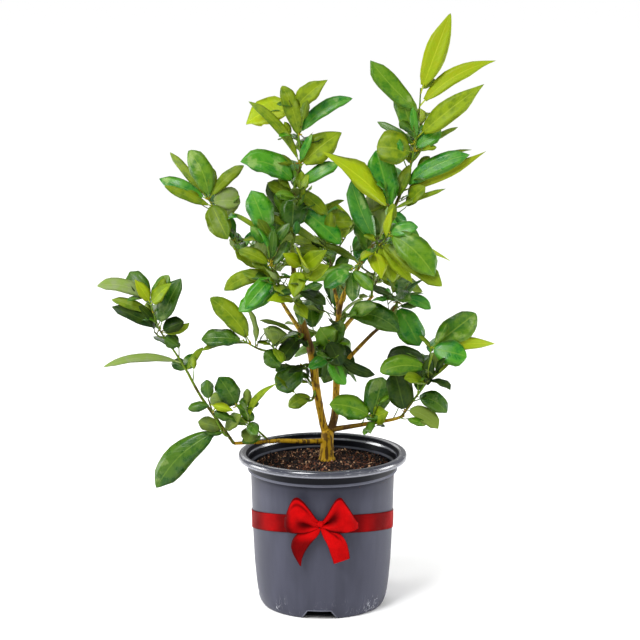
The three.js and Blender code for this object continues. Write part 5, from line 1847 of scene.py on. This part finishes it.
@dataclass
class Bed:
    """The soil: a crumbly bed, with loose chips, crumbs and fibres strewn over it."""

    level: float = 196
    sag: float = 5
    bump: float = 1.6
    flat: float = 24
    spread: float = 90
    foot: tuple = (6, 15)
    rings: int = 60
    sides: int = 168
    edge: float = 95.6
    under_edge: float = 90
    bottom: float = 150
    seed: int = 7

    def height(self, x: float, y: float) -> float:
        """Gives the bed's height, as the solid has it, with crumbs on top.

        Args:
            x: the place to the right.
            y: the place to the back.

        Returns:
            The height.
        """
        away = hypot(x - self.foot[0], y - self.foot[1])
        sag = self.sag * smooth(away, self.flat, self.spread)
        lumps = sin(x * 0.21 + 1.3) * cos(y * 0.17 - 0.4) + 0.6 * sin(0.37 * (x + y))
        crumbs = 2.4 * fractal(Vector((x * 0.16, y * 0.16, 3.0)), 0.7, 2.2, 5) * smooth(away, 9, 22)
        return self.level - sag + self.bump * lumps * smooth(away, self.flat, 48) + crumbs - 0.4

    def build(self) -> None:
        """Makes the bed and what is strewn on it."""
        turns = [(cos(tau * j / self.sides), sin(tau * j / self.sides))
                 for j in range(self.sides)]
        radii = [self.edge * i / self.rings for i in range(1, self.rings + 1)]
        points = [(r * c, r * s, self.height(r * c, r * s)) for r in radii for c, s in turns]
        top, low = len(points), len(points) + 1
        points.append((0.0, 0.0, self.height(0, 0)))
        points += [(self.under_edge * c, self.under_edge * s, self.bottom) for c, s in turns]
        points.append((0.0, 0.0, self.bottom))
        bottom = low + self.sides
        faces = []
        for j in range(self.sides):
            k = (j + 1) % self.sides
            faces.append((top, j, k))
            for a in range(0, top, self.sides):
                b = a + self.sides if a + self.sides < top else low
                faces.append((a + j, b + j, b + k, a + k))
            faces.append((bottom, low + k, low + j))
        seed_set(self.seed)  # Left unseeded, this noise starts from the clock
        marks = [0.35 + 0.5 * noise_vector(Vector((x * 0.3, y * 0.3, 1.0))).x for x, y, _ in points]
        skin = Skin()
        skin.add(points, faces, None, marks)
        bed = skin.make("soil_bed", [Soil("potting_mix").make()])
        settle(bed, ["soil"])
        chips = Soil("bark_chips", (22, 12, 10), (112, 66, 44), (206, 164, 128)).make()
        for grain in GRAINS:
            self._strew(bed, grain, chips)

    @staticmethod
    def _strew(bed: Piece, grain: Grain, material: Material) -> None:
        """Strews one kind of grain over the bed.

        Args:
            bed: the bed's object.
            grain: the kind.
            material: the finish.
        """
        inputs = {"Density": grain.density, "Size": grain.size, "Seed": grain.seed}
        tree = Grower("strew_" + grain.name, inputs)
        mesh, density, size, seed = [tree.given[name] for name in ("Geometry", *inputs)]
        normal = tree.node("GeometryNodeInputNormal")[0]
        upward = tree.node("ShaderNodeSeparateXYZ", {0: normal})[2]
        facing = tree.node("FunctionNodeCompare", {0: upward, 1: 0.3}, operation="GREATER_THAN")[0]
        sockets = {"Mesh": mesh, "Selection": facing, "Density": density, "Seed": seed}
        scattered = tree.node("GeometryNodeDistributePointsOnFaces", sockets)["Points"]
        if grain.fibre:
            sockets = {"Vertices": 3, "Side Segments": 6, "Radius": size, "Depth": size}
            one = tree.node("GeometryNodeMeshCylinder", sockets)[0]
            turns, ripple, reach = ((1.35, 1.35, 0.0), (1.75, 1.75, 6.28)), 90.0, 0.006
        else:
            one = tree.node("GeometryNodeMeshIcoSphere", {"Radius": size, "Subdivisions": 1})[0]
            turns, ripple, reach = ((0.0, 0.0, 0.0), (6.28, 6.28, 6.28)), 320.0, 0.0024
        sockets = {"Points": scattered, "Instance": one, "Rotation": tree.spread(*turns, seed + 1),
                   "Scale": tree.spread(grain.least, grain.most, seed + 2)}
        placed = tree.node("GeometryNodeInstanceOnPoints", sockets)[0]
        sockets = {"Geometry": placed, "Name": "mark", "Value": tree.spread(0.0, 1.0, seed + 3)}
        kind = {"data_type": "FLOAT", "domain": "INSTANCE"}
        marked = tree.node("GeometryNodeStoreNamedAttribute", sockets, **kind)[0]
        real = tree.node("GeometryNodeRealizeInstances", {"Geometry": marked})[0]
        sockets = {"Vector": tree.node("GeometryNodeInputPosition")[0], "Scale": ripple, "Detail": 1.0}
        shift = tree.node("ShaderNodeTexNoise", sockets)["Color"]
        sockets = {0: shift, 1: (0.5, 0.5, 0.5)}
        centred = tree.node("ShaderNodeVectorMath", sockets, operation="SUBTRACT")[0]
        moved = tree.node("ShaderNodeVectorMath", {0: centred, "Scale": reach}, operation="SCALE")[0]
        bent = tree.node("GeometryNodeSetPosition", {"Geometry": real, "Offset": moved})[0]
        tree.end(bent, material)
        settle(tree.run(put("strewn", bed.data.copy()), grain.name), [])


# Ribbon

# Loops as distance out from the knot, upper edge and lower edge
LOOP_LEFT = ((2, 141.5, 133), (7, 147, 131.5), (12, 155, 129.5), (18, 163, 128), (24, 170, 127),
             (31, 174.4, 127), (36, 172.5, 127.2), (41, 164, 128), (44.5, 154, 130), (46, 147, 134))
LOOP_RIGHT = ((2, 141.5, 133), (7, 148, 131.5), (12, 157, 129.5), (17, 166, 128.4), (22, 172.5, 127.6),
              (27, 174.2, 127.2), (33, 167, 127.6), (39, 158, 128.4), (45, 148, 129.6), (49, 141.5, 132))
# Tails from the knot down, as middle, half width towards the right, rise towards the right and curl
TAIL_LEFT = ((-6, -105, 134, 3.6, -2.4, 0), (-15.4, -107.6, 128, 9.2, -3.6, 0.6),
             (-24.5, -108.4, 119.4, 13, -2.6, 1), (-30.4, -107.4, 108.4, 13.6, -1.2, 1.6),
             (-32.2, -105.6, 98.8, 11.4, -0.7, 1.4), (-31.6, -103.8, 90.5, 7.6, -0.7, 0.9),
             (-30.3, -102.6, 84.3, 3.8, 0, 0.4), (-29.4, -102, 80.3, 0.8, 0, 0))
TAIL_RIGHT = ((0, -105, 135, 3.6, 1.6, 0), (8.6, -107.4, 127, 8, 3.4, 0.5),
              (15.7, -108.2, 118, 11.2, 3.4, 1), (19.8, -107.4, 109.8, 12, 3.4, 1.5),
              (22.2, -106, 101.5, 12.2, 3.4, 1.4), (24.2, -104.4, 94, 11.5, 4, 1),
              (25.4, -103, 86.9, 10.8, 3.8, 0.6))


def hump(value: float, middle: float, width: float) -> float:
    """Gives 1 at a middle and less away from it, to about a third at one width."""
    return exp(-(((value - middle) / width) ** 2))


@dataclass
class Ribbon:
    """The red ribbon: a band round the pot that rides higher at the front, tied in a bow."""

    width: float = 25
    thickness: float = 0.7
    height: float = 118.5
    tilt: float = 0.186
    gap: float = 0.4
    knot: tuple = (-3, -102.8, 138.2)
    knot_size: tuple = (6.6, 4.8, 6.4)
    sides: int = 160
    bow: Skin = field(default_factory=Skin)

    def build(self) -> None:
        """Makes the band and the bow."""
        # The deeper red serves the woven edge, soft tone and the painted shade.
        satin = Satin("red_satin", (184, 8, 10), (46, 2, 4)).make()
        settle(self._band().make("ribbon_wrap", [satin], outward=True), ["ribbon_band"])
        self._loop(-1, LOOP_LEFT)
        self._loop(1, LOOP_RIGHT)
        self._knot()
        self._tail(TAIL_LEFT, -1)
        self._tail(TAIL_RIGHT, 1)
        nodes = ["bow_knot", "bow_loop_left", "bow_loop_right", "bow_tail_left", "bow_tail_right"]
        settle(self.bow.make("bow", [satin], outward=True), nodes)

    def _band(self) -> Skin:
        """Makes the band.

        Returns:
            A closed ring with rounded woven edges.
        """
        turns = [tau * i / self.sides for i in range(self.sides)]
        heights = np.linspace(-0.5, 0.5, 9)
        rows = []
        for turn in turns:
            east, north = sin(turn), cos(turn)
            level = self.height - self.tilt * north * along(OUTSIDE, self.height)
            width = self.width * (0.3 + 0.7 * smooth(abs(turn - pi), 0.0, 0.2))
            ring = []
            for outer, order in ((0, heights), (1, heights[::-1])):
                for share in order:
                    z = level + share * width
                    wave = outer * (self.thickness + 0.16 * sin(9 * turn + 5 * share))
                    r = along(OUTSIDE, z) + self.gap + wave
                    ring.append(Vector((east * r, north * r, z)))
            rows.append(ring)
        skin = Skin()
        skin.grid(rows, True, False, [self._shade(turn) for turn in turns])
        across = [*np.linspace(0, 1, 9), *np.linspace(1, 0, 9)]
        skin.uvs = [(i / self.sides, v) for i in range(self.sides) for v in across]
        return skin

    @staticmethod
    def _shade(turn: float) -> float:
        """Says how deep the band's red is at a turn, with painted shade that is most beside the bow and in
        two soft waves.
        """
        away = abs(turn - pi)
        return 0.82 - 0.16 * smooth(away, 0.4, 0.8) + 0.14 * sin(9 * turn + 0.6) * smooth(away, 0.5, 0.7)

    def _sheet(self, front: list[list[Vector]], shades: list[list[float]]) -> None:
        """Adds a sheet of cloth with its thickness behind.

        Args:
            front: rows of points across the sheet.
            shades: how much painted shade deepens the red at each of these points.
        """
        count, across = len(front), len(front[0])
        rows, uvs = [], []
        for i in range(count):
            behind = []
            for j in range(across):
                ahead = front[min(i + 1, count - 1)][j] - front[max(i - 1, 0)][j]
                side = front[i][min(j + 1, across - 1)] - front[i][max(j - 1, 0)]
                normal = ahead.cross(side).normalized()
                behind.append(front[i][j] - normal * self.thickness)
            rows.append(front[i] + behind[::-1])
            shares = [j / (across - 1) for j in range(across)]
            uvs += [(i / count, s) for s in shares + shares[::-1]]
        before = len(self.bow.uvs)
        self.bow.grid(rows, False, True)
        self.bow.uvs[before:] = uvs
        self.bow.marks[before:] = [m for row in shades for m in row + row[::-1]]

    def _loop(self, side: int, rows: Pairs) -> None:
        """Adds one loop: a full front with a valley by the knot, round the end and back behind.

        Args:
            side: -1 for the left loop, 1 for the right one.
            rows: the loop's plan.
        """
        top = Route([(out, 0.0, high) for out, high, _ in rows])
        low = Route([(out, 0.0, bottom) for out, _, bottom in rows])
        steps, across = 34, 22
        front, back, deep = [], [], []
        for i in range(steps + 1):
            t = i / steps
            high, bottom = top.point(t), low.point(t)
            ring, rear, tone = [], [], []
            for j in range(across + 1):
                v = j / across
                at = bottom.lerp(high, v)
                puff = sin(pi * min(1.0, t * 0.98 + 0.01)) ** 0.8
                depth = 9.2 * puff * (0.62 + 0.38 * sin(pi * v))
                valley, lobe, crease = self._folds(side, t, v)
                gathers = cos(v * 7 * pi + side) * exp(-t * 5.5)
                y = self.knot[1] - 0.8 - depth + 7.5 * valley - 2.6 * lobe + 0.8 * crease - 0.9 * gathers
                ring.append(Vector((self.knot[0] + side * at.x, y, at.z)))
                rear.append(Vector((self.knot[0] + side * at.x, self.knot[1] + 2.2 - 0.7 * puff, at.z)))
                # Painted shade: the tone darkens the valley, the crease, the gathers by the knot, the outer
                # end, the left loop's lower edge and both edges.
                outer = smooth(t, 0.66, 0.94) * (0.9 if side < 0 else 0.4)
                outer += 0.5 * (1 - smooth(v, 0.0, 0.3)) * smooth(t, 0.3, 0.7) if side < 0 else 0.0
                rim = 0.5 * smooth(abs(v - 0.5), 0.44, 0.5)
                tone.append(min(1.0, valley + 0.7 * crease + 0.25 * max(0.0, -gathers) + outer + rim))
            front.append(ring)
            back.append(rear)
            deep.append(tone)
        rolled = [[a.lerp(b, s) + Vector((side * 1.1 * sin(pi * s), 0, 0))
                   for a, b in zip(front[-1], back[-1])]
                  for s in (0.25, 0.5, 0.75)]
        # Painted shade: the rolled end keeps the last row's shade and the back sheet an even one.
        shades = deep + [deep[-1]] * 3 + [[0.6] * (across + 1)] * (steps + 1)
        shades = [[0.12 + 0.88 * tone for tone in row] for row in shades]
        self._sheet(front + rolled + back[::-1], shades)

    @staticmethod
    def _folds(side: int, t: float, v: float) -> tuple[float, float, float]:
        """Gives the folds of a loop.

        Args:
            side: -1 for the left loop, 1 for the right one.
            t: the share of the way out from the knot.
            v: the share of the way up across the cloth.

        Returns:
            Depth of the valley, height of the lobe below it and depth of a crease, each from 0 to 1.
        """
        if side < 0:
            valley = hump(v, 0.27, 0.15) * hump(t, 0.4, 0.26)
            crease = hump(v, 0.84, 0.05) * smooth(t, 0.2, 0.4) * (1 - smooth(t, 0.62, 0.8))
            return valley, 0.0, crease
        valley = 0.85 * hump(v, 0.44 + 0.1 * t, 0.07 + 0.36 * t) * (1 - smooth(t, 0.34, 0.62))
        lobe = hump(v, 0.2, 0.11) * (1 - smooth(t, 0.36, 0.5))
        crease = hump(v, 0.03, 0.06) * (1 - smooth(t, 0.5, 0.7))
        return valley * smooth(t, 0.02, 0.12), lobe, crease

    def _knot(self) -> None:
        """Adds the knot: a cushion of cloth with upright folds."""
        rows, turns, rounds = [], 28, 14
        for i in range(1, rounds):
            lat = pi * i / rounds
            row = []
            for j in range(turns):
                turn = tau * j / turns
                crease = 1 + 0.13 * cos(5 * lat + 0.8 + 1.2 * sin(turn)) * abs(sin(lat))
                x = cos(lat) * self.knot_size[0] * 0.82
                y = sin(lat) * cos(turn) * self.knot_size[1] * crease
                z = sin(lat) * sin(turn) * self.knot_size[2] * 0.72 * crease
                row.append(Vector(self.knot) + Vector((x, -abs(y) if y < 0 else y, z)))
            rows.append(row)
        self.bow.grid(rows, False, True)

    def _tail(self, stations: tuple, side: int) -> None:
        """Adds a hanging end.

        Args:
            stations: the tail's plan.
            side: -1 for the left end, which has painted shade below, 1 for the right one, which has a fold.
        """
        middle = Route([station[:3] for station in stations])
        steps, across = 26, 10
        knots = np.linspace(0, 1, len(stations))
        rows, shades = [], []
        for t in np.linspace(0, 1, steps + 1):
            half, drop, curl = [np.interp(t, knots, column) for column in list(zip(*stations))[3:]]
            centre = middle.point(t)
            row, tone = [], []
            for j in range(across + 1):
                v = 2 * j / across - 1
                wave = 0.8 * sin(2.6 * v + 5 * t) * sin(pi * min(1, t + 0.1))
                fold = hump(v, 0.35 + 1.2 * (t - 0.3), 0.14) * (1 - smooth(t, 0.36, 0.6))
                fold = fold * smooth(t, 0.04, 0.12) if side > 0 else 0.0
                row.append(centre + Vector((half * v, curl * v * v * 1.6 - wave + 1.3 * fold, drop * v)))
                # Painted shade: darker towards the bottom, along the left tail's left edge, in the right
                # tail's fold and at both edges.
                under = 0.16 * smooth(t, 0.7, 1)
                if side < 0:
                    under = smooth(t, 0.22, 0.5) * 0.6 + 0.25 * smooth(v, -0.2, -1)
                edge = 0.35 * smooth(abs(v), 0.8, 1.0)
                tone.append(min(1.0, 0.1 + under + 0.7 * fold + edge))
            rows.append(row)
            shades.append(tone)
        self._sheet(rows, shades)


@dataclass
class Studio:
    """A plain pale floor, soft light and the camera."""

    eye: tuple = (-3.5, -2947.4, 953.9)
    pitch: float = 10.75
    lens: float = 125
    paper: float = 60
    glow: float = 0.5
    sun: tuple = (2.2, radians(24), (radians(28), radians(-24), 0))
    look_at: tuple = (0, 0, 0.4)
    lamps: tuple = (
        ("key", (-1.5, -2.2, 2.4), 1.2, 35),
        ("fill", (2.2, -1.8, 1.4), 0.8, 7),
        ("top", (0.2, 0.3, 2.8), 1.4, 12),
        ("behind", (-0.9, 2.7, 1.9), 1.6, 16),
        ("left_edge", (-1.5, 0.1, 0.4), 0.7, 18),
        ("right_edge", (1.5, 0.1, 0.4), 0.7, 17),
    )

    def build(self) -> None:
        """Makes the floor, the lights and the camera."""
        scene = bpy.context.scene
        scene.view_settings.view_transform = "Standard"
        scene.world = bpy.data.worlds.new("soft_white")
        scene.world.use_nodes = True
        glow = scene.world.node_tree.nodes["Background"].inputs
        glow[0].default_value, glow[1].default_value = (1.0, 1.0, 1.0, 1.0), self.glow
        mesh = bpy.data.meshes.new("floor")
        corners = [(x * self.paper, y * self.paper, 0) for x, y in ((-1, -1), (1, -1), (1, 1), (-1, 1))]
        mesh.from_pydata(corners, [], [(0, 1, 2, 3)])
        paper = Shader("floor_paper", 0.9)
        grain = paper.noise(paper.place(), 40.0, 2.0)
        white = paper.mix((0.96, 0.96, 0.96, 1.0), (0.98, 0.98, 0.98, 1.0), grain)
        mesh.materials.append(paper.feed(Base_Color=white))
        floor = put("floor", mesh)
        for name, place, size, power in self.lamps:
            light = bpy.data.lights.new(name, "AREA")
            light.energy, light.size = power, size
            lamp = put(name, light)
            lamp.location = place
            lamp.rotation_euler = (Vector(place) - Vector(self.look_at)).to_track_quat("Z", "Y").to_euler()
        sun = bpy.data.lights.new("even_sun", "SUN")
        sun.energy, sun.angle, turn = self.sun
        put("even_sun", sun).rotation_euler = turn
        camera = bpy.data.cameras.new("camera")
        camera.lens, camera.sensor_width, camera.clip_end = self.lens, 36, 100
        view = put("camera", camera)
        view.location = Vector(self.eye) * MM
        view.rotation_euler = (radians(90 - self.pitch), 0, 0)
        scene.camera = view


def main() -> None:
    """Builds the studio, the container and the tree."""
    logging.basicConfig(level=logging.INFO, format="%(message)s")
    Studio().build()
    Pot().build()
    Bed().build()
    Ribbon().build()
    Limbs().build()
    solids = foliage_solids()
    sprays = [Growth(name).grow(solids) for name in MASSES]
    Twigs(sprays).build()
    Buds(sprays).build()
    Foliage(sprays).build()


if __name__ == "__main__":
    main()
